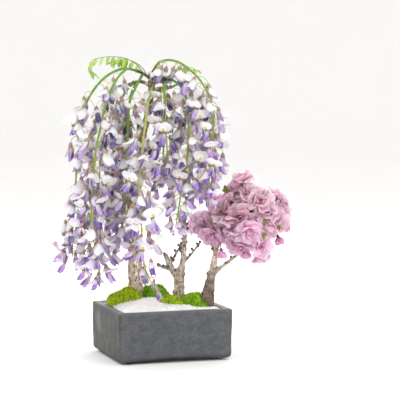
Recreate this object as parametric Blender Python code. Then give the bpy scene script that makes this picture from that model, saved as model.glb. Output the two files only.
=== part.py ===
"""A wisteria and two small cherries growing in one rectangular clay pot.

Metres, +Z up. The origin is the middle of the pot's foot, on the surface it stands on; +X runs along the
pot's long side and -Y is its front. The planting faces a viewer who stands a little to the left of the
pot's front, so stems and flowers are laid out as (across, back, up) in that viewer's sense, in millimetres,
and turned into the pot's frame by world().
"""

import math
import random

import bmesh
import bpy
import numpy as np
from mathutils import Matrix, Vector
from mathutils.bvhtree import BVHTree

MM = 0.001
GAP = 0.3  # mm left between neighbouring solids

# ---------------------------------------------------------------- driving dimensions, millimetres
FACING_DEG = 18.2  # how far the planting's face is turned from the pot's front

POT_LENGTH, POT_DEPTH, POT_HEIGHT = 152.0, 137.0, 66.0
POT_WALL, POT_FLOOR_TOP = 11.0, 11.0
POT_FOOT_INSET, POT_FOOT_HEIGHT = 13.0, 2.4
POT_CORNER, POT_LOWER_EDGE, POT_RIM_EDGE = 4.0, 6.0, 1.6
POT_TAPER = 0.982  # width at the foot over width at the rim
DRAIN_X, DRAIN_RADIUS = 36.0, 6.0
CHANNEL_WIDTH, CHANNEL_HEIGHT = 5.0, 1.8  # the grooves under the foot that lead water out at the back
SCREEN_SIDE, SCREEN_THICK = 20.0, 1.2

SOIL_TOP = 54.0
GROUND_EDGE, GROUND_RISE = 64.0, 9.5  # gravel level at the wall, and how much higher it is in the middle
GROUND_LEAN = 0.45  # share by which the heap is higher at the left wall and lower at the right
GRAIN_STEP, GRAIN_HEIGHT = 9.4, 0.8
BURIED_TO = 36.0  # how deep the trunks' stumps reach
WISTERIA_HOLE, CHERRY_HOLE = 12.6, 9.2  # radii of the plain holes that the stumps stand in

PETAL_THICK = 0.7
PEDICEL_RADIUS = 0.45
CLEARANCE = 0.5  # kept between the envelopes of florets on different racemes


def world(across, back, up):
    """A point laid out in the viewer's sense, in the pot's frame, in millimetres."""
    turn = math.radians(FACING_DEG)
    return Vector(
        (
            across * math.cos(turn) + back * math.sin(turn),
            -across * math.sin(turn) + back * math.cos(turn),
            up,
        )
    )


def within_pot(x, y, gap=1.0):
    """The place, or the nearest one inside the pot's walls."""
    limit_x, limit_y = POT_LENGTH / 2 - POT_WALL - gap, POT_DEPTH / 2 - POT_WALL - gap
    return max(-limit_x, min(limit_x, x)), max(-limit_y, min(limit_y, y))


def ground(x, y):
    """Height of the gravel's smooth surface at a place in the pot's frame."""
    inner_x, inner_y = POT_LENGTH / 2 - POT_WALL, POT_DEPTH / 2 - POT_WALL
    heap = max(0.0, 1 - (x / inner_x) ** 2) * max(0.0, 1 - (y / inner_y) ** 2)
    return GROUND_EDGE + GROUND_RISE * heap * (1 - GROUND_LEAN * x / inner_x)


# ---------------------------------------------------------------- meshes and objects
class Shape:
    """A closed mesh under construction: points in millimetres, and faces as lists of point numbers."""

    def __init__(self, points, faces):
        self.points = [Vector(p) for p in points]
        self.faces = faces

    def placed(self, matrix):
        return Shape([matrix @ p for p in self.points], self.faces)

    def draw_out(self, face, sections):
        """Grows a limb or a blade from a face through sections with as many points as the face has.
        A blade's two broad sides are split into triangles alike, so that they stay apart."""
        loop = self.faces.pop(self.faces.index(face))
        count = len(loop)
        for section in sections:
            first = len(self.points)
            self.points += [Vector(p) for p in section]
            following = list(range(first, first + count))
            for k in range(count):
                a, b = loop[k], loop[(k + 1) % count]
                c, d = following[(k + 1) % count], following[k]
                self.faces += [[a, b, c], [a, c, d]] if k < count / 2 else [[a, b, d], [b, c, d]]
            loop = following
        self.faces += [[loop[0], loop[k], loop[k + 1]] for k in range(1, count - 1)]


def material(name, colour, roughness, metallic=0.0):
    made = bpy.data.materials.new(name)
    made.use_nodes = True
    shader = made.node_tree.nodes["Principled BSDF"]
    shader.inputs["Base Color"].default_value = (*colour, 1.0)
    shader.inputs["Roughness"].default_value = roughness
    shader.inputs["Metallic"].default_value = metallic
    return made


def mesh_of(name, shape):
    mesh = bpy.data.meshes.new(name)
    mesh.from_pydata([p * MM for p in shape.points], [], shape.faces)
    work = bmesh.new()
    work.from_mesh(mesh)
    bmesh.ops.recalc_face_normals(work, faces=work.faces)
    work.to_mesh(mesh)
    work.free()
    return mesh


def add(name, shape, finish, smooth=False):
    """One shape as one named object."""
    made = bpy.data.objects.new(name, mesh_of(name, shape))
    bpy.context.scene.collection.objects.link(made)
    made.data.materials.append(finish)
    if smooth:
        made.data.shade_smooth()
        made.data.set_sharp_from_angle(angle=math.radians(40))
    return made


def apply_boolean(target, operation, shapes, solver="EXACT"):
    """Joins shapes to the target object, or cuts them from it, and leaves only the target."""
    group = bpy.data.collections.new(target.name + "_operands")
    bpy.context.scene.collection.children.link(group)
    for number, shape in enumerate(shapes):
        name = f"{target.name}_operand_{number}"
        group.objects.link(bpy.data.objects.new(name, mesh_of(name, shape)))
    modifier = target.modifiers.new(operation.lower(), "BOOLEAN")
    modifier.operation = operation
    modifier.operand_type = "COLLECTION"
    modifier.collection = group
    modifier.solver = solver
    bpy.context.view_layer.update()
    evaluated = target.evaluated_get(bpy.context.evaluated_depsgraph_get())
    result = bpy.data.meshes.new_from_object(evaluated)
    target.modifiers.clear()
    old = target.data
    target.data = result
    bpy.data.meshes.remove(old)
    for operand in list(group.objects):
        bpy.data.objects.remove(operand)
    bpy.data.collections.remove(group)
    return target


def fuse(name, shapes, finish):
    """One object from shapes that overlap each other."""
    return apply_boolean(add(name, shapes[0], finish), "UNION", shapes[1:])


# ---------------------------------------------------------------- curves and tubes
def smooth_path(points, step):
    """Points about a step apart on a Catmull-Rom curve through the given ones. Each point may carry more
    numbers after its three coordinates, such as a radius, and these are carried along the curve too."""
    rows = np.array(points, float)
    ends = np.vstack([2 * rows[0] - rows[1], rows, 2 * rows[-1] - rows[-2]])
    made = []
    for i in range(1, len(ends) - 2):
        a, b, c, d = ends[i - 1 : i + 3]
        count = max(1, round(float(np.linalg.norm((c - b)[:3])) / step))
        for k in range(count):
            t = k / count
            made.append(
                0.5
                * (2 * b + (c - a) * t + (2 * a - 5 * b + 4 * c - d) * t * t + (3 * b - a - 3 * c + d) * t**3)
            )
    made.append(rows[-1])
    return np.array(made)


def tube(centres, radii, sides, bump=None):
    """A closed tube round a line of centres. bump(ring, side) scales the radius there, for bark."""
    centres = [Vector(c) for c in centres]
    across = None
    points, faces = [], []
    for i, centre in enumerate(centres):
        ahead = (centres[min(i + 1, len(centres) - 1)] - centres[max(i - 1, 0)]).normalized()
        if across is None:
            across = ahead.orthogonal()
        across = (across - ahead * across.dot(ahead)).normalized()
        other = ahead.cross(across)
        for k in range(sides):
            angle = 2 * math.pi * k / sides
            radius = radii[i] * (bump(i, k) if bump else 1.0)
            points.append(centre + (across * math.cos(angle) + other * math.sin(angle)) * radius)
    for i in range(len(centres) - 1):
        for k in range(sides):
            n = (k + 1) % sides
            faces.append([i * sides + k, i * sides + n, (i + 1) * sides + n, (i + 1) * sides + k])
    faces.append(list(range(sides))[::-1])
    faces.append([(len(centres) - 1) * sides + k for k in range(sides)])
    return Shape(points, faces)


def limb(points, step, sides, bump=None):
    """A tube along a smooth curve. Each point is (across, back, up, radius) in the viewer's sense."""
    rows = smooth_path(points, step)
    return tube([world(*row[:3]) for row in rows], [row[3] for row in rows], sides, bump)


def frame_matrix(origin, across, forward, up):
    return Matrix(
        (
            (across.x, forward.x, up.x, origin.x),
            (across.y, forward.y, up.y, origin.y),
            (across.z, forward.z, up.z, origin.z),
            (0, 0, 0, 1),
        )
    )


# ---------------------------------------------------------------- the pot and what fills it
def rounded_rectangle(length, depth, corner, height, segments=3):
    """One ring of points, counter-clockwise from above."""
    ring = []
    for turn, (sx, sy) in enumerate(((1, 1), (-1, 1), (-1, -1), (1, -1))):
        cx, cy = sx * (length / 2 - corner), sy * (depth / 2 - corner)
        for k in range(segments + 1):
            angle = math.pi / 2 * (turn + k / segments)
            ring.append((cx + corner * math.cos(angle), cy + corner * math.sin(angle), height))
    return ring


def stacked(rings):
    """A closed shape from rings with the same number of points, capped at both ends."""
    count = len(rings[0])
    points = [p for ring in rings for p in ring]
    faces = []
    for i in range(len(rings) - 1):
        for k in range(count):
            n = (k + 1) % count
            faces.append([i * count + k, i * count + n, (i + 1) * count + n, (i + 1) * count + k])
    faces.append(list(range(count))[::-1])
    faces.append([(len(rings) - 1) * count + k for k in range(count)])
    return Shape(points, faces)


def cylinder(x, y, radius, low, high, sides=10):
    return stacked(
        [
            [
                (
                    x + radius * math.cos(2 * math.pi * k / sides),
                    y + radius * math.sin(2 * math.pi * k / sides),
                    height,
                )
                for k in range(sides)
            ]
            for height in (low, high)
        ]
    )


def box(low, high):
    (x0, y0, z0), (x1, y1, z1) = low, high
    return stacked([[(x0, y0, z), (x1, y0, z), (x1, y1, z), (x0, y1, z)] for z in (z0, z1)])


def pot_width_at(height):
    """Share of the rim's width that the outside has at a height."""
    return POT_TAPER + (1 - POT_TAPER) * height / POT_HEIGHT


def build_pot(finish):
    rings = []

    def ring(inset, height, corner):
        share = pot_width_at(height)
        rings.append(
            rounded_rectangle(
                POT_LENGTH * share - 2 * inset, POT_DEPTH * share - 2 * inset, max(corner, 0.6), height
            )
        )

    ring(POT_FOOT_INSET, 0, POT_CORNER)
    ring(POT_FOOT_INSET, POT_FOOT_HEIGHT, POT_CORNER)
    for k in range(4):  # the rounded lower edge
        angle = math.pi / 2 * k / 3
        ring(
            POT_LOWER_EDGE * (1 - math.sin(angle)),
            POT_FOOT_HEIGHT + POT_LOWER_EDGE * (1 - math.cos(angle)),
            POT_CORNER,
        )
    for k in range(3):  # the rim's outer edge
        angle = math.pi / 2 * k / 2
        ring(
            POT_RIM_EDGE * (1 - math.cos(angle)),
            POT_HEIGHT - POT_RIM_EDGE * (1 - math.sin(angle)),
            POT_CORNER,
        )
    ring(POT_WALL - POT_RIM_EDGE, POT_HEIGHT, POT_CORNER - 2)
    ring(POT_WALL, POT_HEIGHT - POT_RIM_EDGE, POT_CORNER - 2)
    ring(POT_WALL, POT_FLOOR_TOP, POT_CORNER - 2)
    pot = add("pot", stacked(rings), finish)
    cutters = []
    for side in (-1, 1):
        x = side * DRAIN_X
        cutters.append(cylinder(x, 0, DRAIN_RADIUS, -5, POT_FLOOR_TOP + 5))
        half = CHANNEL_WIDTH / 2
        cutters.append(box((x - half, 0, -3), (x + half, POT_DEPTH, CHANNEL_HEIGHT)))
    return apply_boolean(pot, "DIFFERENCE", cutters)


def inner_ring(height, gap):
    share = pot_width_at(height)
    return rounded_rectangle(
        POT_LENGTH * share - 2 * (POT_WALL + gap),
        POT_DEPTH * share - 2 * (POT_WALL + gap),
        POT_CORNER - 2,
        height,
    )


def build_soil(trunks, finish):
    low = POT_FLOOR_TOP + GAP
    soil = add("soil", stacked([inner_ring(low, 2 * GAP), inner_ring(SOIL_TOP, 2 * GAP)]), finish)
    cutters = [
        cylinder(spot.x, spot.y, radius + GAP, BURIED_TO - GAP, SOIL_TOP + 5) for spot, radius in trunks
    ]
    half = SCREEN_SIDE / 2 + GAP
    for side in (-1, 1):
        x = side * DRAIN_X
        top = low + SCREEN_THICK + GAP
        cutters.append(box((x - half, -half, low - 5), (x + half, half, top)))
    return apply_boolean(soil, "DIFFERENCE", cutters)


def build_screens(finish):
    """The square nets that keep the soil out of the drain holes."""
    low = POT_FLOOR_TOP + GAP
    half = SCREEN_SIDE / 2
    for name, side in (("drain_screen_left", -1), ("drain_screen_right", 1)):
        x = side * DRAIN_X
        net = add(name, box((x - half, -half, low), (x + half, half, low + SCREEN_THICK)), finish)
        meshes = []
        for i in (-1, 1):
            for j in (-1, 1):
                cx, cy = x + i * SCREEN_SIDE / 5, j * SCREEN_SIDE / 5
                meshes.append(box((cx - 3, cy - 3, low - 1), (cx + 3, cy + 3, low + 3)))
        apply_boolean(net, "DIFFERENCE", meshes)


def build_gravel(trunks, cushions, finish):
    """White gravel heaped towards the middle, rough where it shows and smooth under the moss."""
    half_x = POT_LENGTH / 2 - POT_WALL - 3 * GAP
    half_y = POT_DEPTH / 2 - POT_WALL - 3 * GAP
    columns, rows = round(2 * half_x / GRAIN_STEP), round(2 * half_y / GRAIN_STEP)
    draw = random.Random(4)
    points = []
    for j in range(rows + 1):
        for i in range(columns + 1):
            x = half_x * (2 * i / columns - 1)
            y = half_y * (2 * j / rows - 1)
            if i in (0, columns) and j in (0, rows):  # drawn in from the pot's rounded corners
                x, y = x - math.copysign(1.5, x), y - math.copysign(1.5, y)
            covered = any(cushion.covers(x, y, GRAIN_STEP) for cushion in cushions)
            rough = 0.0 if covered else draw.uniform(-1, 1) * GRAIN_HEIGHT
            points.append((x, y, ground(x, y) + rough))
    low = SOIL_TOP + GAP
    faces = []
    width = columns + 1
    for j in range(rows):
        for i in range(columns):
            a = j * width + i
            faces.append([a, a + 1, a + width + 1, a + width])
    edge = (
        [(i, 0) for i in range(columns)]
        + [(columns, j) for j in range(rows)]
        + [(i, rows) for i in range(columns, 0, -1)]
        + [(0, j) for j in range(rows, 0, -1)]
    )
    rim = [j * width + i for i, j in edge]
    under = list(range(len(points), len(points) + len(rim)))
    points += [(points[a][0], points[a][1], low) for a in rim]
    for k in range(len(rim)):
        n = (k + 1) % len(rim)
        faces.append([rim[n], rim[k], under[k], under[n]])
    faces.append(under[::-1])
    gravel = add("gravel", Shape(points, faces), finish)
    holes = [cylinder(spot.x, spot.y, radius + GAP, low - 5, 95) for spot, radius in trunks]
    return apply_boolean(gravel, "DIFFERENCE", holes)


class Cushion:
    """A moss cushion: a rounded mound with a lobed outline on the gravel."""

    def __init__(self, name, across, back, half_across, half_back, height, seed):
        self.name = name
        self.centre = world(across, back, 0)
        self.half_across, self.half_back, self.height = half_across, half_back, height
        self.seed = seed

    def reach(self, angle):
        """How far the outline lies from the centre in a direction, in the viewer's sense."""
        a = angle + self.seed
        lobes = 1 + 0.07 * math.sin(3 * a) + 0.05 * math.sin(5 * a + 1.3)
        return lobes / math.hypot(math.cos(angle) / self.half_across, math.sin(angle) / self.half_back)

    def covers(self, x, y, margin):
        turn = math.radians(FACING_DEG)
        dx, dy = x - self.centre.x, y - self.centre.y
        across = dx * math.cos(turn) - dy * math.sin(turn)
        back = dx * math.sin(turn) + dy * math.cos(turn)
        return math.hypot(across, back) < self.reach(math.atan2(back, across)) + margin

    def shape(self, spokes=12, rings=3):
        draw = random.Random(self.seed)
        points = []
        for level in (1, 0):  # the domed top, then the underside that follows the gravel
            for r in range(1, rings + 1):
                share = r / rings
                for k in range(spokes):
                    angle = 2 * math.pi * (k + 0.5 * (r % 2)) / spokes
                    flat = world(math.cos(angle), math.sin(angle), 0) * self.reach(angle) * share
                    x, y = within_pot(self.centre.x + flat.x, self.centre.y + flat.y)
                    dome = self.height * math.sqrt(max(0.0, 1 - share**2.4)) if level else 0.0
                    if level and r < rings:
                        dome *= 1 + draw.uniform(-0.12, 0.12)
                    lift = 1.2 if level else 0.0
                    points.append((x, y, ground(x, y) + GAP + 0.15 + dome + lift))
            points.append((self.centre.x, self.centre.y, ground(*self.centre.xy) + GAP + 0.15))
            if level:
                points[-1] = (points[-1][0], points[-1][1], points[-1][2] + self.height + 1.2)
        faces = []
        under = rings * spokes + 1
        for base, flip in ((0, False), (under, True)):
            apex = base + rings * spokes
            made = []
            for k in range(spokes):
                made.append([apex, base + k, base + (k + 1) % spokes])
            for r in range(rings - 1):
                for k in range(spokes):
                    n = (k + 1) % spokes
                    a, b = base + r * spokes + k, base + r * spokes + n
                    c, d = a + spokes, b + spokes
                    # Odd rings are shifted by half a spoke, so the diagonal alternates.
                    made += [[a, c, d], [a, d, b]] if r % 2 == 0 else [[a, c, b], [b, c, d]]
            faces += [f[::-1] for f in made] if flip else made
        rim, rim_under = (rings - 1) * spokes, under + (rings - 1) * spokes
        for k in range(spokes):
            n = (k + 1) % spokes
            faces.append([rim + n, rim + k, rim_under + k, rim_under + n])
        return Shape(points, faces)


CUSHIONS = [
    Cushion("moss_front_left", -50, 5, 24, 18, 14.5, 1),
    Cushion("moss_behind_wisteria", -9, 25, 19, 15, 16.0, 2),
    Cushion("moss_front_middle", 14, -22, 14, 9, 8.0, 3),
    Cushion("moss_between_cherries", 45, -12, 18.5, 13, 13.0, 4),
]


# ---------------------------------------------------------------- the woody stems
# Each limb is a list of (across, back, up, radius).
WISTERIA_TRUNK = [
    (-34, 22, BURIED_TO, 8.0),
    (-34, 22, 60, 10.8),
    (-34, 22, 78, 11.2),
    (-34, 22, 92, 9.9),
    (-35, 22, 110, 9.0),
    (-35, 20, 133, 8.2),
    (-37, 20, 162, 7.3),
    (-38, 20, 191, 6.5),
    (-33, 20, 214, 5.9),
    (-26, 18, 243, 5.3),
    (-25, 16, 277, 4.7),
    (-18, 14, 311, 4.3),
    (-13, 12, 339, 4.2),
    (-12, 12, 362, 4.6),
    (-12, 11, 368, 3.0),
]
WISTERIA_BRANCHES = [
    [(-13, 13, 350, 2.6), (-27, 32, 356, 2.4), (-45, 50, 352, 2.0)],
    [(-13, 12, 336, 3.0), (1, 26, 346, 3.2), (14, 40, 349, 2.4)],
    [(-12, 11, 354, 2.6), (2, -2, 359, 2.3), (16, -10, 358, 2.0)],
    [(-12, 11, 359, 2.6), (-22, -2, 366, 2.3), (-31, -11, 370, 1.9)],
]
CHERRY_LEFT = [
    [
        (23, 10, BURIED_TO, 6.0),
        (23, 10, 60, 7.6),
        (23, 10, 76, 8.2),
        (23, 10, 90, 6.4),
        (24, 10, 104, 6.0),
        (28, 10, 121, 4.0),
        (30, 10, 141, 3.5),
        (31, 10, 163, 2.9),
        (30, 10, 181, 2.0),
    ],
    [(23, 10, 96, 4.6), (13, 10, 113, 4.1), (8, 8, 125, 3.7), (5, 8, 132, 3.3)],
    [(13, 10, 111, 2.0), (3, 2, 114, 1.5), (-5, -4, 118, 1.3)],
    [(12, 10, 119, 1.9), (21, 18, 134, 1.5), (27, 22, 144, 1.1)],
    [(29, 10, 120, 2.1), (41, 14, 133, 1.6), (52, 20, 147, 1.2)],
]
CHERRY_RIGHT = [
    [
        (60, -13, BURIED_TO, 6.0),
        (60, -13, 58, 7.4),
        (60, -13, 74, 8.5),
        (62, -12, 88, 7.2),
        (64, -10, 99, 6.0),
        (67, -7, 112, 4.6),
        (70, -4, 129, 3.9),
        (73, 4, 141, 3.2),
        (83, 14, 154, 2.6),
        (94, 22, 171, 2.3),
        (104, 26, 191, 2.0),
        (107, 24, 208, 1.5),
    ],
    [
        (65, -9, 103, 3.0),
        (76, -4, 114, 2.5),
        (89, 2, 123, 2.2),
        (102, 8, 134, 2.0),
        (114, 14, 147, 1.9),
        (126, 20, 161, 1.8),
        (138, 24, 175, 1.6),
        (146, 24, 189, 1.3),
    ],
    [(70, -4, 128, 2.0), (68, 10, 138, 1.7), (62, 22, 148, 1.5), (54, 33, 159, 1.2)],
]


def bark(ridges, depth, seed):
    """A radius factor that gives a stem long ridges with some irregular swellings."""
    draw = random.Random(seed)
    swell = [1 + draw.uniform(-depth, depth) * 0.6 for _ in range(200)]

    def bump(ring, side):
        return swell[ring % 200] * (1 + depth * (1 if (side + ring // 3) % ridges == 0 else -0.4))

    return bump


def bud_spurs(points, count, seed):
    """Short scaly buds that stand out of a twig."""
    draw = random.Random(seed)
    rows = smooth_path(points, 2.0)
    made = []
    for k in range(count):
        row = rows[int(len(rows) * (k + 0.6) / (count + 0.3)) - 1]
        start = world(*row[:3])
        angle = 2.4 * k + draw.uniform(-0.5, 0.5)
        out = Vector((math.cos(angle), math.sin(angle), 0.7)).normalized()
        reach = row[3] + draw.uniform(2.8, 4.2)
        made.append(tube([start, start + out * reach * 0.7, start + out * reach], [1.2, 1.3, 0.3], 3))
    return made


def build_wood(bark_grey, bark_brown):
    trunk = limb(WISTERIA_TRUNK, 12.0, 8, bark(4, 0.10, 1))
    branches = [limb(points, 8.0, 5, bark(3, 0.06, 2 + n)) for n, points in enumerate(WISTERIA_BRANCHES)]
    fuse("wisteria_wood", [trunk, *branches], bark_grey)
    for name, limbs, twigs, seed in (
        ("cherry_left_wood", CHERRY_LEFT, (2, 3, 4), 11),
        ("cherry_right_wood", CHERRY_RIGHT, (2,), 12),
    ):
        shapes = [limb(limbs[0], 11.0, 7, bark(4, 0.08, seed))]
        shapes += [limb(points, 8.0, 5, bark(3, 0.05, seed + 2)) for points in limbs[1:]]
        for n in twigs:
            shapes += bud_spurs(limbs[n], 3, seed + n)
        fuse(name, shapes, bark_brown)


class Wood:
    """A tree's limbs and its bark, to start stalks just off it."""

    def __init__(self, limbs, tree):
        rows = np.vstack([smooth_path(points, 1.5) for points in limbs])
        self.places = np.array([world(*row[:3]) for row in rows])
        self.radii = rows[:, 3]
        mesh = tree.data
        points, faces = [v.co / MM for v in mesh.vertices], [f.vertices for f in mesh.polygons]
        self.bark = BVHTree.FromPolygons(points, faces)

    def room(self, point):
        """The distance from a point to the bark, or less than 0 inside it."""
        spot, normal, _, distance = self.bark.find_nearest(point)
        return distance if (point - spot).dot(normal) > 0 else -distance

    def nearest(self, point, above=0.0):
        """The nearest place on a limb's axis."""
        away = np.linalg.norm(self.places - np.array(point), axis=1) - self.radii
        away[self.places[:, 2] < above] = 1e9
        return Vector(self.places[int(away.argmin())])

    def clear_start(self, line, radius):
        """A line of close points that begins in the wood, without those whose section isn't clear of it."""
        for i in range(len(line) - 2):
            ahead = (line[i + 1] - line[i]).normalized()
            side = ahead.orthogonal().normalized()
            ring = [Matrix.Rotation(math.pi / 4 * k, 3, ahead) @ side * radius for k in range(8)]
            if all(self.room(line[i] + spoke) > GAP for spoke in ring):
                return line[i:]
        return line


# ---------------------------------------------------------------- clearance between flowers
class Crowd:
    """The space already taken, as rounded segments, each with the name of what it belongs to."""

    def __init__(self):
        self.starts, self.ends, self.radii, self.owners = [], [], [], []

    def take(self, start, end, radius, owner):
        self.starts.append(tuple(start))
        self.ends.append(tuple(end))
        self.radii.append(radius)
        self.owners.append(owner)

    def take_line(self, points, radii, owner):
        for i in range(len(points) - 1):
            self.take(points[i], points[i + 1], max(radii[i], radii[i + 1]), owner)

    def room(self, start, end, radius, owner):
        """The smallest distance from a rounded segment to those of other owners, in millimetres."""
        keep = np.array([o != owner for o in self.owners])
        if not keep.any():
            return math.inf
        p, q = np.array(self.starts)[keep], np.array(self.ends)[keep]
        reach = np.array(self.radii)[keep] + radius
        return float((segment_distances(np.array(start), np.array(end), p, q) - reach).min())

    def own_room(self, start, end, radius, owner):
        """The same to the florets of its own raceme, which may press on each other a little."""
        keep = np.array([o == owner and r > 2.0 for o, r in zip(self.owners, self.radii)])
        if not keep.any():
            return math.inf
        p, q = np.array(self.starts)[keep], np.array(self.ends)[keep]
        reach = np.array(self.radii)[keep] * 0.8 + radius * 0.8
        return float((segment_distances(np.array(start), np.array(end), p, q) - reach).min())


def segment_distances(a, b, p, q):
    """Distances from the segment a-b to each segment p-q."""
    d1, d2, r = b - a, q - p, a - p
    aa = max(float(d1 @ d1), 1e-9)
    ee = np.maximum((d2 * d2).sum(1), 1e-9)
    bb, cc, ff = d2 @ d1, r @ d1, (d2 * r).sum(1)
    denominator = np.maximum(aa * ee - bb * bb, 1e-9)
    s = np.clip((bb * ff - cc * ee) / denominator, 0, 1)
    t = (bb * s + ff) / ee
    s = np.where(t < 0, np.clip(-cc / aa, 0, 1), np.where(t > 1, np.clip((bb - cc) / aa, 0, 1), s))
    t = np.clip(t, 0, 1)
    near = (a + s[:, None] * d1) - (p + t[:, None] * d2)
    return np.linalg.norm(near, axis=1)


# ---------------------------------------------------------------- wisteria florets
BANNER_LENGTH, BANNER_HALF = 14.5, 11.0
KEEL_LENGTH, KEEL_HALF = 17.5, 5.2
BUD_LENGTH, BUD_HALF = 20.5, 6.2
PEDICEL_OUT, PEDICEL_DOWN = 12.0, 7.0
OPEN_FROM = 0.5  # a floret is open, with its banner up, where its opening is over this


def floret_axis(opening):
    """The way a floret points, in its own frame: +Y is away from the raceme's stalk."""
    pitch = math.radians(-82 + 40 * opening)
    return Vector((0, math.cos(pitch), math.sin(pitch)))


def across_axis(axis, along, side, up):
    """A place in a floret's cross-section, where up is at right angles to its axis."""
    return axis * along + Vector((1, 0, 0)) * side + Vector((1, 0, 0)).cross(axis) * up


def floret_shape(opening, size, stalk):
    """A floret with its pedicel, in the floret's own frame: the pedicel ends at the origin, and stalk is
    the place in the raceme's stalk that it comes from."""
    axis = floret_axis(opening)
    opened = opening > OPEN_FROM
    length = (KEEL_LENGTH if opened else BUD_LENGTH) * size
    half = (KEEL_HALF if opened else BUD_HALF) * size
    rise, drop = (half * 0.5, half * 1.3) if opened else (half * 0.75, half * 0.85)
    widest = length * (0.5 if opened else 0.46)

    def neck(centre, radius, way):
        """Three points round the pedicel or the calyx, with the flat side up."""
        up = Vector((1, 0, 0)).cross(way).normalized()
        corners = ((0, -1.0), (-0.87, 0.5), (0.87, 0.5))
        return [centre + Vector((1, 0, 0)) * (u * radius) + up * (v * radius) for u, v in corners]

    points = neck(stalk, PEDICEL_RADIUS * 1.2, -stalk.normalized())
    points += neck(Vector(), 0.9 * (0.5 + 0.5 * size), (axis - stalk.normalized()).normalized())
    faces = [[0, 1, 2], [0, 3, 4], [0, 4, 1], [1, 4, 5], [1, 5, 2], [2, 5, 3], [2, 3, 0]]
    seat = 3
    if opened:
        points += neck(axis * 1.9 * size, 1.35 * size, axis)
        faces += [[3, 6, 7], [3, 7, 4], [5, 8, 6], [5, 6, 3]]
        faces.append([4, 7, 8, 5])
        seat = 6
    low, left, right = seat, seat + 1, seat + 2
    first = len(points)
    points += [
        across_axis(axis, widest, 0, rise),
        across_axis(axis, widest, -half, 0),
        across_axis(axis, widest, 0, -drop),
        across_axis(axis, widest, half, 0),
        across_axis(axis, length, 0, -drop * 0.1),
    ]
    t, l, b, r, tip = range(first, first + 5)
    faces += [[left, t, right], [left, l, t], [right, t, r], [left, low, l], [low, b, l], [low, r, b]]
    faces += [[low, right, r], [t, l, tip], [l, b, tip], [b, r, tip], [r, t, tip]]
    shape = Shape(points, faces)
    if opened:
        shape.draw_out([4, 7, 8, 5], banner_sections(axis, opening, size))
    return shape


def banner_pitch(opening):
    return math.radians(-20 + 88 * opening)


def banner_sections(axis, opening, size):
    """The banner's widest line and its upper edge, each as back left, front left, front right, back right."""
    sections = []
    root = axis * 1.0 * size
    for along, half, lean in ((0.55, 1.0, 0.0), (1.0, 0.6, math.radians(14))):
        pitch = banner_pitch(opening) + lean
        way = Vector((0, math.cos(pitch), math.sin(pitch)))
        normal = Vector((0, math.sin(pitch), -math.cos(pitch)))  # towards the front
        middle = root + way * BANNER_LENGTH * size * along
        side = Vector((1, 0, 0)) * BANNER_HALF * size * half
        thick = normal * PETAL_THICK / 2
        left, right = middle - side, middle + side
        sections.append([left - thick, left + thick, right + thick, right - thick])
    return sections


def floret_envelope(opening, size):
    """Rounded segments that hold a floret, in its own frame."""
    axis = floret_axis(opening)
    if opening <= OPEN_FROM:
        return [(axis * 2, axis * BUD_LENGTH * size * 0.8, BUD_HALF * size * 0.92)]
    pitch = banner_pitch(opening) + math.radians(6)
    middle = Vector((0, math.cos(pitch), math.sin(pitch))) * BANNER_LENGTH * size * 0.6
    side = Vector((BANNER_HALF * size * 0.5, 0, 0))
    return [
        (axis * 2, axis * KEEL_LENGTH * size * 0.9, KEEL_HALF * size * 0.95),
        (middle + side, middle - side, BANNER_HALF * size * 0.5),
    ]


class Raceme:
    """A hanging flower stem: its green stalk, and florets set round it in a spiral."""

    def __init__(self, name, stem, bare, count, turn, opened, tip_size=0.6):
        self.name, self.stem, self.bare, self.count = name, stem, bare, count
        self.turn, self.opened, self.tip_size = turn, opened, tip_size
        self.centres = []

    def lay(self, wood):
        """Sets out the stalk's centres, evenly spaced, from just off the wood to the tip."""
        route = [wood.nearest(world(*self.stem[0])), *[world(*place) for place in self.stem[1:]]]
        close = [Vector(row) for row in smooth_path(route, 0.25)]
        close = wood.clear_start(close, STALK_RADIUS)
        gone = [0.0]
        for a, b in zip(close, close[1:]):
            gone.append(gone[-1] + (b - a).length)
        count = round(gone[-1] / STALK_STEP)
        marks = [gone[-1] * k / count for k in range(count + 1)]
        self.centres = [close[min(int(np.searchsorted(gone, m)), len(close) - 1)] for m in marks]

    def radii(self):
        return list(np.linspace(STALK_RADIUS, STALK_TIP_RADIUS, len(self.centres)))

    def at(self, share):
        """The place on the stalk's axis at a share of its length."""
        run = share * (len(self.centres) - 1)
        i = min(int(run), len(self.centres) - 2)
        return self.centres[i].lerp(self.centres[i + 1], run - i)


STALK_RADIUS, STALK_TIP_RADIUS, STALK_STEP = 1.75, 0.8, 17.0

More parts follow.
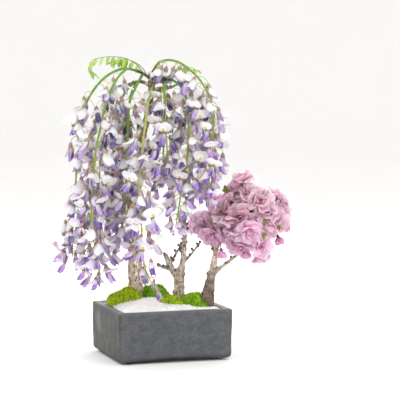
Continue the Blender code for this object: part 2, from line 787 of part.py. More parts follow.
RACEMES = [
    Raceme(
        "raceme_far_left",
        [(-27, -7, 368), (-38, -5, 373), (-55, -8, 371), (-72, -12, 361), (-87, -12, 344),
         (-97, -12, 325), (-104, -12, 303), (-107, -12, 275), (-109, -12, 240), (-111, -12, 200),
         (-114, -12, 160), (-114, -12, 130)],
        0.18, 19, 0.3, 0.45, 0.85,
    ),
    Raceme(
        "raceme_left_front",
        [(-31, -11, 370), (-40, -22, 373), (-50, -32, 366), (-60, -41, 350), (-69, -46, 327),
         (-75, -48, 299), (-81, -48, 272), (-84, -48, 240), (-87, -48, 206), (-87, -48, 174),
         (-82, -48, 140), (-76, -48, 110)],
        0.08, 20, 1.1, 0.6, 0.85,
    ),
    Raceme(
        "raceme_left_middle",
        [(-38, 43, 354), (-44, 36, 347), (-54, 27, 329), (-60, 18, 300), (-62, 16, 270), (-64, 16, 234),
         (-66, 16, 195), (-68, 16, 150), (-68, 16, 134)],
        0.12, 15, 2.0, 0.5, 0.85,
    ),
    Raceme(
        "raceme_centre_left",
        [(-24, -3, 367), (-27, -9, 357), (-34, -14, 345), (-40, -18, 326), (-42, -20, 294), (-44, -20, 256),
         (-45, -20, 217), (-46, -20, 165)],
        0.10, 17, 0.0, 0.8, 0.85,
    ),
    Raceme(
        "raceme_centre",
        [(-11, 4, 358), (-14, -30, 337), (-18, -50, 306), (-23, -58, 264), (-26, -60, 232), (-25, -60, 200),
         (-23, -60, 164), (-22, -60, 136), (-17, -60, 116), (-9, -60, 99), (0, -60, 88)],
        0.28, 13, 2.6, 0.8, 0.9,
    ),
    Raceme(
        "raceme_back_left",
        [(-45, 50, 352), (-64, 62, 345), (-78, 66, 312), (-82, 66, 265), (-84, 66, 211), (-84, 66, 150)],
        0.16, 14, 1.7, 0.5,
    ),
    Raceme(
        "raceme_back",
        [(-31, 36, 355), (-35, 52, 352), (-42, 67, 336), (-45, 74, 308), (-47, 74, 262), (-47, 74, 185)],
        0.16, 11, 0.8, 0.5,
    ),
    Raceme(
        "raceme_back_middle",
        [(3, 28, 347), (4, 42, 343), (5, 50, 328), (3, 53, 302), (2, 53, 262), (0, 53, 215)],
        0.14, 10, 2.9, 0.5,
    ),
    Raceme(
        "raceme_centre_right",
        [(3, -6, 355), (5, -24, 343), (6, -35, 320), (8, -37, 282), (11, -37, 238)],
        0.08, 12, 0.4, 0.7,
    ),
    Raceme(
        "raceme_right_front",
        [(16, -10, 358), (28, -20, 348), (35, -30, 323), (36, -32, 288), (33, -32, 250), (27, -32, 218),
         (22, -32, 185), (19, -32, 170)],
        0.10, 16, 1.4, 0.5,
    ),
    Raceme(
        "raceme_right_middle",
        [(9, -6, 359), (20, -1, 365), (33, -2, 362), (46, 0, 345), (53, 3, 318), (55, 4, 287),
         (52, 4, 248), (47, 4, 214)],
        0.24, 13, 2.2, 0.5,
    ),
    Raceme(
        "raceme_right",
        [(-12, 11, 366), (-6, 3, 377), (3, -7, 383), (17, -16, 383), (32, -26, 376), (50, -34, 359),
         (61, -38, 339), (67, -40, 307), (67, -40, 269), (63, -40, 236), (60, -40, 206)],
        0.08, 19, 0.1, 0.6,
    ),
    Raceme(
        "raceme_back_right",
        [(16, 43, 350), (27, 56, 352), (37, 66, 334), (40, 68, 298), (39, 68, 251), (36, 68, 208)],
        0.18, 11, 1.9, 0.5,
    ),
]

# How far the flowers reach to the left and to the right of the pot's middle, by height, and how far a
# single floret may stand out beyond that.
REACH_LEFT = (
    (92, -134), (170, -132), (206, -123), (231, -114),
    (308, -114), (322, -111), (344, -98), (390, -60),
)
REACH_RIGHT = ((92, 20), (160, 50), (175, 68), (227, 80), (310, 84), (344, 76), (390, 40))
STANDS_OUT = 12.0


def between(table, height):
    """The reach at a height, on straight runs between the table's rows."""
    rows = list(table)
    for (low, near), (high, far) in zip(rows, rows[1:]):
        if height <= high:
            share = min(1.0, max(0.0, (height - low) / (high - low)))
            return near + (far - near) * share
    return rows[-1][1]


def beyond_reach(point, radius):
    """How far a ball round a point stands out beyond the flowers' reach, as seen from the front."""
    turn = math.radians(FACING_DEG)
    across = point.x * math.cos(turn) - point.y * math.sin(turn)
    left, right = between(REACH_LEFT, point.z), between(REACH_RIGHT, point.z)
    return max(left - (across - radius), across + radius - right)


GOLDEN_TURN = math.radians(137.5)
TRY_TURNS = [math.radians(t) for t in (0, 22, -22, 44, -44, 68, -68, 95, -95, 125, -125)]


def plan_florets(crowd):
    """Places every floret. Each takes its turn of the spiral, or the nearest turn that keeps it clear of
    the other racemes, the wood and the blossom, and is left off where no turn does."""
    draw = random.Random(7)
    plans = {raceme.name: [] for raceme in RACEMES}
    for raceme in RACEMES:
        crowd.take_line(raceme.centres, raceme.radii(), raceme.name)
    for number in range(max(raceme.count for raceme in RACEMES)):
        for raceme in RACEMES:
            if number >= raceme.count:
                continue
            share = (number + 0.5) / raceme.count
            place = raceme.at(raceme.bare + (0.995 - raceme.bare) * share)
            size = (1 - (1 - raceme.tip_size) * max(0.0, (share - 0.7) / 0.3)) * draw.uniform(0.92, 1.08)
            opening = draw.uniform(0.75, 1.0) if draw.random() < raceme.opened else draw.uniform(0.0, 0.3)
            reach = draw.uniform(0.85, 1.15)
            drop = draw.uniform(0.8, 1.3)
            turn = raceme.turn + number * GOLDEN_TURN + draw.uniform(-0.2, 0.2)
            for extra in TRY_TURNS:
                plan = FloretPlan(place, turn + extra, reach, drop, size, opening)
                if plan.fits(crowd, raceme.name):
                    for start, end, radius in plan.envelope:
                        crowd.take(start, end, radius, raceme.name)
                    plans[raceme.name].append(plan)
                    break
    return plans


class FloretPlan:
    """Where one floret hangs: its place on the stalk, its own frame, its size and how open it is."""

    def __init__(self, place, turn, reach, drop, size, opening):
        self.place, self.size, self.opening = place, size, opening
        out = Vector((math.cos(turn), math.sin(turn), 0))
        self.end = place + out * PEDICEL_OUT * reach * (0.55 + 0.45 * size)
        self.end.z -= PEDICEL_DOWN * drop * size
        self.matrix = frame_matrix(self.end, out.cross(Vector((0, 0, 1))), out, Vector((0, 0, 1)))
        self.envelope = [(place, self.end, PEDICEL_RADIUS + 0.3)]
        for a, b, radius in floret_envelope(opening, size):
            self.envelope.append((self.matrix @ a, self.matrix @ b, radius))

    def fits(self, crowd, owner):
        low = min(min(a.z, b.z) - radius for a, b, radius in self.envelope)
        if low < 96 and abs(self.end.x) < 80 and abs(self.end.y) < 80:
            return False
        if any(beyond_reach(p, radius) > STANDS_OUT for a, b, radius in self.envelope[1:] for p in (a, b)):
            return False
        if any(crowd.room(a, b, radius, owner) < CLEARANCE for a, b, radius in self.envelope):
            return False
        return all(crowd.own_room(a, b, radius, owner) > 0 for a, b, radius in self.envelope[1:])

    def shape(self):
        return floret_shape(self.opening, self.size, self.matrix.inverted() @ self.place).placed(self.matrix)


def build_racemes(plans, finish):
    for raceme in RACEMES:
        shapes = [tube(raceme.centres, raceme.radii(), 4)]
        shapes += [plan.shape() for plan in plans[raceme.name]]
        fuse(raceme.name, shapes, finish)


# ---------------------------------------------------------------- cherry blossom
BLOOM_PETAL = 14.5

# Each bloom: name, heart of the flower (across, back, up), the way it faces, radius in millimetres.
BLOOMS = [
    ("blossom_top", (105, 6, 223), (-0.5, -0.4, 0.8), 16.5),
    ("blossom_upper_left", (92, -4, 198), (-0.1, -1.0, 0.1), 15.0),
    ("blossom_upper_back", (120, 28, 208), (0.2, 0.5, 0.8), 14.0),
    ("blossom_upper_right", (127, -10, 202), (0.1, -1.0, 0.2), 15.5),
    ("blossom_right_high", (149, 16, 203), (0.6, -0.2, 0.8), 16.0),
    ("blossom_middle_left", (86, 7, 170), (-0.3, -0.9, -0.3), 16.5),
    ("blossom_front", (113, -22, 166), (0.1, -0.8, -0.6), 17.5),
    ("blossom_centre", (118, 6, 184), (0.1, -1.0, 0.3), 14.5),
    ("blossom_right", (147, -6, 177), (0.4, -0.9, 0.1), 16.0),
    ("blossom_far_right", (158, 24, 176), (0.9, 0.1, 0.2), 14.5),
    ("blossom_low_left", (66, 4, 158), (-0.5, -0.8, -0.4), 15.0),
    ("blossom_left_back", (46, 44, 168), (-0.8, 0.0, 0.3), 14.5),
    ("blossom_low_middle", (96, -4, 150), (-0.2, -0.9, -0.4), 13.0),
    ("blossom_low_right", (128, -8, 144), (0.3, -0.9, -0.1), 13.5),
    ("blossom_lowest", (128, 14, 132), (0.2, -0.3, -0.9), 13.5),
    ("blossom_back_left", (78, 46, 188), (-0.3, 0.9, 0.3), 15.5),
    ("blossom_back", (112, 54, 184), (0.1, 1.0, 0.1), 16.0),
    ("blossom_back_right", (142, 48, 166), (0.5, 0.8, -0.1), 15.5),
]
# Each bud: name, place, the way it hangs.
BLOSSOM_BUDS = [
    ("blossom_bud_left", (78, -14, 139), (0.1, -0.3, -1.0)),
    ("blossom_bud_right", (152, 4, 155), (0.3, -0.2, -1.0)),
    ("blossom_bud_low", (110, -3, 138), (0.1, -0.3, -1.0)),
]


def bloom_matrix(heart, facing):
    """The bloom's own frame: +Z the way it faces."""
    up = world(*facing).normalized()
    across = up.orthogonal().normalized()
    return frame_matrix(world(*heart), across, up.cross(across), up)


def petal_section(turn, pitch, along, half, limit=None):
    """One cross-section of a petal that leaves the heart at a pitch above the flower's plane, as lower
    left, lower right, upper right, upper left. Petals of one whorl stay inside their own sectors."""
    out = Vector((math.cos(turn), math.sin(turn), 0))
    side = Vector((-math.sin(turn), math.cos(turn), 0))
    up = Vector((0, 0, 1))
    way = out * math.cos(pitch) + up * math.sin(pitch)
    normal = up * math.cos(pitch) - out * math.sin(pitch)
    middle = out * HEART_RADIUS + way * along
    half = min(half, 0.96 * math.tan(math.pi / 5) * (HEART_RADIUS + along * math.cos(pitch)))
    thick = normal * PETAL_THICK / 2
    return [
        middle - side * half - thick,
        middle + side * half - thick,
        middle + side * half + thick,
        middle - side * half + thick,
    ]


HEART_RADIUS = 2.2


def bloom_shape(radius, seed, stalk):
    """A double blossom in its own frame, facing +Z: a calyx on its pedicel, five spread petals and five
    more that stand up inside them. stalk lists the pedicel's places from the twig to the calyx."""
    draw = random.Random(seed)
    scale = radius / 16.0
    rings = []
    for height, width in ((-2.6, 0.9), (-0.4, HEART_RADIUS), (0.9, HEART_RADIUS), (2.3, HEART_RADIUS * 0.85)):
        rings.append(
            [
                (width * math.cos(2 * math.pi * k / 5), width * math.sin(2 * math.pi * k / 5), height)
                for k in range(5)
            ]
        )
    heart = stacked(rings)
    for layer, (first, pitch) in enumerate(((5, 17), (10, 48))):
        for k in range(5):
            n = (k + 1) % 5
            turn = 2 * math.pi * (k + 0.5 + 0.5 * layer) / 5
            lean = math.radians(pitch + draw.uniform(-7, 7))
            long = draw.uniform(0.92, 1.05) * scale
            if layer == 0:
                sections = [
                    petal_section(turn, lean, 8.2 * long, 7.5 * scale),
                    petal_section(turn, lean + 0.05, BLOOM_PETAL * long, 5.2 * scale),
                ]
            else:
                sections = [petal_section(turn, lean, BLOOM_PETAL * 0.80 * long, 6.5 * scale)]
            heart.draw_out([first + k, first + n, first + 5 + n, first + 5 + k], sections)
    pedicel = tube(stalk, [0.75] * len(stalk), 3)
    return [heart, pedicel]


def pedicel_line(wood, base, back):
    """A flower's stalk, from just off the nearest twig to the flower's base, which it meets from
    straight behind."""
    spot = wood.nearest(base + back * 4, above=112)
    bend = base + back * min(6.0, (base - spot).length * 0.4)
    run = int((bend - spot).length / 0.25) + 4
    line = wood.clear_start([spot.lerp(bend, k / run) for k in range(run + 1)], 0.8)
    return [line[0], bend, base - back * 0.8]


def build_blossom(wood, petal_pink, bud_pink):
    for seed, (name, heart, facing, radius) in enumerate(BLOOMS):
        matrix = bloom_matrix(heart, facing)
        back = -(matrix.to_3x3() @ Vector((0, 0, 1)))
        stalk = pedicel_line(wood, matrix @ Vector((0, 0, -2.6)), back)
        inverse = matrix.inverted()
        shapes = bloom_shape(radius, seed, [inverse @ p for p in stalk])
        fuse(name, [s.placed(matrix) for s in shapes], petal_pink)
    for name, heart, facing in BLOSSOM_BUDS:
        matrix = bloom_matrix(heart, facing)
        back = -(matrix.to_3x3() @ Vector((0, 0, 1)))
        stalk = pedicel_line(wood, matrix @ Vector((0, 0, -3.4)), back)
        heights, radii = (-3.4, -1.0, 3.0, 6.0, 8.0), (0.9, 2.4, 4.4, 4.0, 1.6)
        body = tube([matrix @ Vector((0, 0, z)) for z in heights], radii, 6)
        fuse(name, [body, tube(stalk, [0.75] * 3, 3)], bud_pink)


# ---------------------------------------------------------------- leaves
# Each leaf: name, its midrib from the wood to its tip, pairs of leaflets, leaflet length, how far they droop.
LEAVES = [
    ("leaf_far_left", [(-21, 1, 365), (-31, 1, 378), (-46, -4, 386), (-62, -4, 388), (-79, -5, 386),
     (-91, -6, 378)], 6, 12.0, 1.0),
    ("leaf_left", [(-17, 6, 362), (-25, 9, 375), (-38, 8, 383), (-51, 9, 385), (-63, 9, 382)], 4, 11.5, 1.1),
    ("leaf_right", [(4, 29, 347), (13, 22, 362), (24, 15, 372), (36, 10, 375), (46, 9, 371)], 3, 9.5, 0.6),
    ("leaf_back", [(10, 36, 348), (16, 42, 362), (20, 50, 373), (26, 58, 377), (34, 64, 374)], 3, 10.5, 0.9),
]
CHERRY_LEAVES = [
    ("cherry_leaf_top", (101, 24, 185), (-0.5, 0.3, 0.8), 14.0),
    ("cherry_leaf_right", (133, 22, 169), (0.3, 0.7, 0.6), 13.0),
    ("cherry_leaf_left", (62, 22, 148), (0.1, -0.3, 0.9), 13.0),
]
LEAF_STALK = 0.45


def leaf_shape(centres, pairs, length, droop, half):
    """A feathered leaf: a square midrib whose sides are drawn out into leaflets, with one at its tip."""
    points, faces = [], []
    count = len(centres)
    for i, centre in enumerate(centres):
        ahead = (centres[min(i + 1, count - 1)] - centres[max(i - 1, 0)]).normalized()
        side = ahead.cross(Vector((0, 0, 1))).normalized() * LEAF_STALK
        up = side.cross(ahead).normalized() * LEAF_STALK
        points += [centre - side - up, centre + side - up, centre + side + up, centre - side + up]
    for i in range(count - 1):
        for k in range(4):
            n = (k + 1) % 4
            faces.append([i * 4 + k, i * 4 + n, i * 4 + 4 + n, i * 4 + 4 + k])
    faces.append([3, 2, 1, 0])
    faces.append([count * 4 - 4, count * 4 - 3, count * 4 - 2, count * 4 - 1])
    shape = Shape(points, faces)
    for pair in range(pairs):
        i = count - 2 - 2 * (pairs - 1 - pair)
        ahead = (centres[i + 1] - centres[i]).normalized()
        size = 1 - 0.30 * pair / pairs
        middle = (centres[i] + centres[i + 1]) / 2
        for sign, (a, b) in ((1, (1, 2)), (-1, (3, 0))):
            outward = ahead.cross(Vector((0, 0, 1))).normalized() * sign
            way = (outward + ahead * 0.45 - Vector((0, 0, 1)) * droop).normalized()
            normal = (Vector((0, 0, 1)) - way * way.z).normalized()
            side = way.cross(normal) * (-sign)
            sections = []
            for along, width in ((0.5, half), (1.0, half * 0.25)):
                centre = middle + way * length * size * along
                thick = normal * PETAL_THICK / 2 * sign
                near, far = centre - ahead * width * size, centre + ahead * width * size
                sections.append([near - thick, near + thick, far + thick, far - thick])
            shape.draw_out([i * 4 + a, i * 4 + b, i * 4 + 4 + b, i * 4 + 4 + a], sections)
    tip = [count * 4 - 4, count * 4 - 3, count * 4 - 2, count * 4 - 1]
    ahead = (centres[-1] - centres[-2]).normalized()
    side = ahead.cross(Vector((0, 0, 1))).normalized()
    up = side.cross(ahead).normalized() * PETAL_THICK / 2
    sections = []
    for along, width in ((0.5, half), (1.0, half * 0.25)):
        centre = centres[-1] + ahead * length * 0.75 * along
        left, right = centre - side * width * 0.8, centre + side * width * 0.8
        sections.append([left - up, right - up, right + up, left + up])
    shape.draw_out(tip, sections)
    return shape


def build_leaves(wisteria, cherry, green):
    for name, midrib, pairs, length, droop in LEAVES:
        close = [world(*row) for row in smooth_path(midrib, 0.25)]
        close = wisteria.clear_start(close, 0.8)
        run = sum((b - a).length for a, b in zip(close, close[1:]))
        leafy = 2 * pairs * 2.8  # leaflets and the gaps between them, each 2.8 mm along the midrib
        bare = max(3, round((run - leafy) / 7))
        marks = [(run - leafy) * k / bare for k in range(bare)]
        marks += [run - leafy + 2.8 * k for k in range(2 * pairs + 1)]
        centres, gone = [], 0.0
        for a, b in zip(close, close[1:]):
            step = (b - a).length
            while len(centres) < len(marks) and marks[len(centres)] <= gone + step + 1e-6:
                centres.append(a.lerp(b, min(1.0, (marks[len(centres)] - gone) / step)))
            gone += step
        add(name, leaf_shape(centres, pairs, length, droop, 2.3), green)
    for name, foot, way, length in CHERRY_LEAVES:
        spot = cherry.nearest(world(*foot))
        along = world(*way).normalized()
        close = cherry.clear_start([spot + along * 0.25 * k for k in range(60)], 0.8)
        centres = [close[0], close[0] + along * 2.5, close[0] + along * 5]
        add(name, leaf_shape(centres, 0, length / 0.75, 0, 5.0), green)


# ---------------------------------------------------------------- the whole planting
def occupied():
    """The space that the wood, the blossom and the leaves take, which the florets keep clear of."""
    crowd = Crowd()
    for owner, limbs in (
        ("wisteria", [WISTERIA_TRUNK, *WISTERIA_BRANCHES]),
        ("cherry_left", CHERRY_LEFT),
        ("cherry_right", CHERRY_RIGHT),
    ):
        for points in limbs:
            rows = smooth_path(points, 8.0)
            crowd.take_line([world(*row[:3]) for row in rows], [row[3] * 1.15 for row in rows], owner)
    for name, heart, facing, radius in BLOOMS:
        middle = world(*heart) + world(*facing).normalized() * 4
        crowd.take(middle, middle + Vector((0, 0, 0.1)), radius * 0.95, name)
    for name, heart, facing in BLOSSOM_BUDS:
        middle = world(*heart)
        crowd.take(middle, middle + world(*facing).normalized() * 8, 4.6, name)
    for name, midrib, _, length, _ in LEAVES:
        rows = smooth_path(midrib, 6.0)
        for row in rows[len(rows) // 3 :]:
            crowd.take(world(*row), world(*row) - Vector((0, 0, length * 0.8)), length * 0.6, name)
    return crowd


def main():
    for left in list(bpy.data.objects):
        bpy.data.objects.remove(left)
    clay = material("dark_clay", (0.13, 0.13, 0.135), 0.7)
    earth = material("soil", (0.08, 0.05, 0.03), 0.95)
    net = material("black_net", (0.02, 0.02, 0.02), 0.6)
    white = material("white_gravel", (0.85, 0.85, 0.83), 0.8)
    moss = material("moss", (0.25, 0.40, 0.05), 0.95)
    grey_bark = material("wisteria_bark", (0.30, 0.25, 0.19), 0.9)
    brown_bark = material("cherry_bark", (0.22, 0.17, 0.13), 0.85)
    lilac = material("wisteria_flower", (0.62, 0.55, 0.78), 0.6)
    green = material("young_leaf", (0.28, 0.48, 0.06), 0.6)
    pink = material("cherry_petal", (0.85, 0.45, 0.60), 0.6)
    deep_pink = material("cherry_bud", (0.75, 0.20, 0.42), 0.6)

    trunks = [
        (world(*WISTERIA_TRUNK[0][:3]), WISTERIA_HOLE),
        (world(*CHERRY_LEFT[0][0][:3]), CHERRY_HOLE),
        (world(*CHERRY_RIGHT[0][0][:3]), CHERRY_HOLE),
    ]
    build_pot(clay)
    build_screens(net)
    build_soil(trunks, earth)
    build_gravel(trunks, CUSHIONS, white)
    cores = [cylinder(spot.x, spot.y, radius + GAP, 50, 110) for spot, radius in trunks]
    for cushion in CUSHIONS:
        apply_boolean(add(cushion.name, cushion.shape(), moss), "DIFFERENCE", cores)
    build_wood(grey_bark, brown_bark)
    wisteria = Wood([WISTERIA_TRUNK, *WISTERIA_BRANCHES], bpy.data.objects["wisteria_wood"])
    cherry = Wood(CHERRY_RIGHT, bpy.data.objects["cherry_right_wood"])
    build_blossom(cherry, pink, deep_pink)
    build_leaves(wisteria, cherry, green)
    for raceme in RACEMES:
        raceme.lay(wisteria)
    build_racemes(plan_florets(occupied()), lilac)


main()
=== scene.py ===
"""The looks of the wisteria bonsai: fine flowers, bark, moss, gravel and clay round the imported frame.

The frame is in metres. Places in here are in millimetres. Stems and flowers are laid out as
(across, back, up) in the sense of a viewer who stands a little to the left of the pot's front.
"""

import math
import random

import bpy
import numpy as np
from mathutils import Matrix, Vector, noise
from mathutils.bvhtree import BVHTree

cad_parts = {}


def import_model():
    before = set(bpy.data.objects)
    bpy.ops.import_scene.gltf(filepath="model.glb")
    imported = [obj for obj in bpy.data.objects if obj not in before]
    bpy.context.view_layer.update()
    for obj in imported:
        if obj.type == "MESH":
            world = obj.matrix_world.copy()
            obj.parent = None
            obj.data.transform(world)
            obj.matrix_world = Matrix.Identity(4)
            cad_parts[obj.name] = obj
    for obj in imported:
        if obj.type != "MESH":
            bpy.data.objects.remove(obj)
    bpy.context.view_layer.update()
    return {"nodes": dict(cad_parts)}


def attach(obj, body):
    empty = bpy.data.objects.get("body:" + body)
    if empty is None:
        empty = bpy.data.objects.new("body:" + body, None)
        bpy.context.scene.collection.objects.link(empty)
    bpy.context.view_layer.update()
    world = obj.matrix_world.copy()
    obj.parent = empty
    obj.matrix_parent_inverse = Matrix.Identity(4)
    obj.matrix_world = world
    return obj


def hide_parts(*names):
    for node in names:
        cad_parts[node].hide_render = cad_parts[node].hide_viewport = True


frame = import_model()
MM = 0.001
FACING = math.radians(18.2)
UP = Vector((0, 0, 1))

# Where each series of random draws begins.
FLORET_SEED, EXTRA_SEED, FLOWER_SEED, BLOOM_SEED, BUD_SEED = 7, 19, 100, 300, 400
LEAF_SEED, SPRIG_SEED, MOSS_SEED, GRAVEL_SEED = 500, 520, 600, 44

POT_LENGTH, POT_DEPTH, POT_HEIGHT, POT_WALL, POT_TAPER = 152.0, 137.0, 66.0, 11.0, 0.982
POT_FOOT_INSET, POT_FOOT_HEIGHT, POT_LOWER_EDGE, POT_CORNER, POT_RIM_ROUND = 13.0, 2.4, 6.0, 4.0, 2.4
POT_ARCH = 2.6  # how far the front and back lower edges rise between the corners
DRAIN_X, DRAIN_RADIUS, CHANNEL_WIDTH, CHANNEL_HEIGHT, POT_FLOOR_TOP = 36.0, 6.0, 5.0, 1.8, 11.0
SOIL_TOP, GROUND_EDGE, GROUND_RISE, GROUND_LEAN, BURIED_TO = 54.0, 64.0, 9.5, 0.45, 36.0


def world(across, back, up):
    c, s = math.cos(FACING), math.sin(FACING)
    return Vector((across * c + back * s, -across * s + back * c, up))


def outward(turn, up=0.0):
    """The way out of a vertical line at an angle round it."""
    return np.array((math.cos(turn), math.sin(turn), up))


def ground(x, y):
    """The height of the gravel, heaped to the middle of the pot."""
    inner_x, inner_y = POT_LENGTH / 2 - POT_WALL, POT_DEPTH / 2 - POT_WALL
    heap = max(0.0, 1 - (x / inner_x) ** 2) * max(0.0, 1 - (y / inner_y) ** 2)
    return GROUND_EDGE + GROUND_RISE * heap * (1 - GROUND_LEAN * x / inner_x)


def rgb(red, green, blue):
    """A colour given as it looks on a screen, 0 to 255, in the renderer's linear values."""
    values = [v / 255 for v in (red, green, blue)]
    return np.array([v / 12.92 if v <= 10 / 255 else ((v + 0.055) / 1.055) ** 2.4 for v in values])


def blend(a, b, t):
    return np.asarray(a) * (1 - t) + np.asarray(b) * t


def smoothstep(low, high, x):
    t = np.clip((x - low) / (high - low), 0, 1)
    return t * t * (3 - 2 * t)


def placed(name, data):
    """A new object in the scene."""
    made = bpy.data.objects.new(name, data)
    bpy.context.scene.collection.objects.link(made)
    return made


# ---------------------------------------------------------------- meshes
class Bulk:
    """Small closed meshes gathered into one. Each point carries petal, its place on its own petal or stalk,
    and tone, a colour of its own, which the materials read."""

    def __init__(self):
        self.points, self.petal, self.tone, self.quads, self.tris = [], [], [], [], []
        self.quad_slots, self.tri_slots = [], []
        self.size = 0

    def add(self, points, quads=(), tris=(), petal=None, tone=(1, 1, 1), slot=0):
        count = len(points)
        self.points.append(np.asarray(points, float))
        self.petal.append(np.zeros((count, 3)) if petal is None else petal)
        self.tone.append(np.broadcast_to(tone, (count, 3)))
        if len(quads):
            self.quads.append(np.asarray(quads) + self.size)
            self.quad_slots += [slot] * len(quads)
        if len(tris):
            self.tris.append(np.asarray(tris) + self.size)
            self.tri_slots += [slot] * len(tris)
        self.size += count

    def mesh(self, name, materials, smooth=True):
        quads = np.concatenate(self.quads) if self.quads else np.zeros((0, 4), int)
        tris = np.concatenate(self.tris) if self.tris else np.zeros((0, 3), int)
        made = bpy.data.meshes.new(name)
        made.vertices.add(self.size)
        made.vertices.foreach_set("co", (np.concatenate(self.points) * MM).ravel())
        made.loops.add(quads.size + tris.size)
        made.loops.foreach_set("vertex_index", np.concatenate([quads.ravel(), tris.ravel()]))
        made.polygons.add(len(quads) + len(tris))
        starts = [np.arange(len(quads)) * 4, quads.size + np.arange(len(tris)) * 3]
        made.polygons.foreach_set("loop_start", np.concatenate(starts))
        made.polygons.foreach_set("material_index", self.quad_slots + self.tri_slots)
        made.polygons.foreach_set("use_smooth", [smooth] * len(made.polygons))
        made.update(calc_edges=True)
        petal = made.attributes.new("petal", "FLOAT_VECTOR", "POINT")
        petal.data.foreach_set("vector", np.concatenate(self.petal).ravel())
        set_tone(made, np.concatenate(self.tone))
        for finish in materials:
            made.materials.append(finish)
        made.validate()
        return made


def set_tone(mesh, tone):
    """Gives each point of a mesh its own colour."""
    rows = np.ones((len(tone), 4))
    rows[:, :3] = tone
    mesh.attributes.new("tone", "FLOAT_COLOR", "POINT").data.foreach_set("color", rows.ravel())


def piece(name, mesh, slot, *nodes):
    """A finished piece on the one body, standing for the CAD nodes named."""
    made = placed(name, mesh)
    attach(made, "root")
    if nodes:
        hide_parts(*nodes)
    return made


def applied(thing):
    """The object's mesh with its modifiers applied."""
    bpy.context.view_layer.update()
    done = thing.evaluated_get(bpy.context.evaluated_depsgraph_get())
    return bpy.data.meshes.new_from_object(done)


def grid_quads(index):
    return np.stack([index[:-1, :-1], index[:-1, 1:], index[1:, 1:], index[1:, :-1]], -1).reshape(-1, 4)


def closed(index):
    """A grid of point numbers with its first column repeated at its end."""
    return np.concatenate([index, index[:, :1]], axis=1)


def caps(index, first, last, flip=False):
    """Triangles that close the two end rows of a closed grid onto a first and a last point."""
    steps = range(index.shape[1] - 1)
    tris = [(first, index[0, k + 1], index[0, k]) for k in steps]
    tris += [(last, index[-1, k], index[-1, k + 1]) for k in steps]
    return [(a, c, b) for a, b, c in tris] if flip else tris


def run_along(line):
    """How far along a line each of its points lies."""
    return np.concatenate([[0], np.cumsum(np.linalg.norm(np.diff(line, axis=0), axis=1))])


def blade(grid, thick):
    """A thin closed petal round a grid of points; its two sides meet along the edge. Gives points, faces,
    and each point's place: across -1 to 1, along 0 to 1, and 1 on the front or -1 on the back."""
    rows, columns = grid.shape[:2]
    normal = np.cross(np.gradient(grid, axis=1), np.gradient(grid, axis=0))
    normal /= np.maximum(np.linalg.norm(normal, axis=2, keepdims=True), 1e-9)
    inside = np.zeros((rows, columns), bool)
    inside[1:-1, 1:-1] = True
    front = grid + normal * np.where(inside, thick / 2, 0)[..., None]
    upper = np.arange(rows * columns).reshape(rows, columns)
    lower = upper.copy()
    lower[inside] = rows * columns + np.arange(inside.sum())
    points = np.concatenate([front.reshape(-1, 3), (grid - normal * thick / 2)[inside]])
    u, v = np.meshgrid(np.linspace(-1, 1, columns), np.linspace(0, 1, rows))
    place = np.stack([u, v, np.ones_like(u)], -1)
    under = place[inside]
    under[:, 2] = -1
    marks = np.concatenate([place.reshape(-1, 3), under])
    return points, np.concatenate([grid_quads(upper), grid_quads(lower)[:, ::-1]]), marks


def tube(centres, radii, sides):
    """A closed tube: points, quads, end triangles, and each point's place: round 0 to 1, and along in mm."""
    centres = np.asarray(centres, float)
    count = len(centres)
    ahead = np.gradient(centres, axis=0)
    ahead /= np.maximum(np.linalg.norm(ahead, axis=1, keepdims=True), 1e-9)
    across = np.array(Vector(ahead[0]).orthogonal().normalized())
    angles = 2 * math.pi * np.arange(sides) / sides
    rings = []
    for i in range(count):
        across = across - ahead[i] * (across @ ahead[i])
        across /= np.linalg.norm(across)
        other = np.cross(ahead[i], across)
        ring = np.outer(np.cos(angles), across) + np.outer(np.sin(angles), other)
        rings.append(centres[i] + ring * radii[i])
    index = closed(np.arange(count * sides).reshape(count, sides))
    tris = np.array(caps(index, count * sides, count * sides + 1))[:, ::-1]
    run = run_along(centres)
    place = np.zeros((count * sides + 2, 3))
    place[:-2, 0] = np.tile(np.arange(sides) / sides, count)
    place[:-2, 1] = np.repeat(run, sides)
    place[-1, 1] = run[-1]
    return np.concatenate([*rings, centres[:1], centres[-1:]]), grid_quads(index), tris, place


def moved(points, matrix):
    m = np.array(matrix)
    return points @ m[:3, :3].T + m[:3, 3]


def moved_tube(line, radii, sides, matrix):
    points, quads, tris, place = tube(line, radii, sides)
    return moved(points, matrix), quads, tris, place


def smooth_path(points, step):
    """Points about a step apart on a Catmull-Rom curve; numbers after the coordinates are carried along."""
    rows = np.array(points, float)
    ends = np.vstack([2 * rows[0] - rows[1], rows, 2 * rows[-1] - rows[-2]])
    made = []
    for i in range(1, len(ends) - 2):
        a, b, c, d = ends[i - 1 : i + 3]
        count = max(1, round(float(np.linalg.norm((c - b)[:3])) / step))
        for k in range(count):
            t = k / count
            square, cube = 2 * a - 5 * b + 4 * c - d, 3 * b - a - 3 * c + d
            made.append((2 * b + (c - a) * t + square * t * t + cube * t**3) / 2)
    made.append(rows[-1])
    return np.array(made)


def frame_matrix(origin, across, forward, up):
    return Matrix([(*row, place) for *row, place in zip(across, forward, up, origin)] + [(0, 0, 0, 1)])


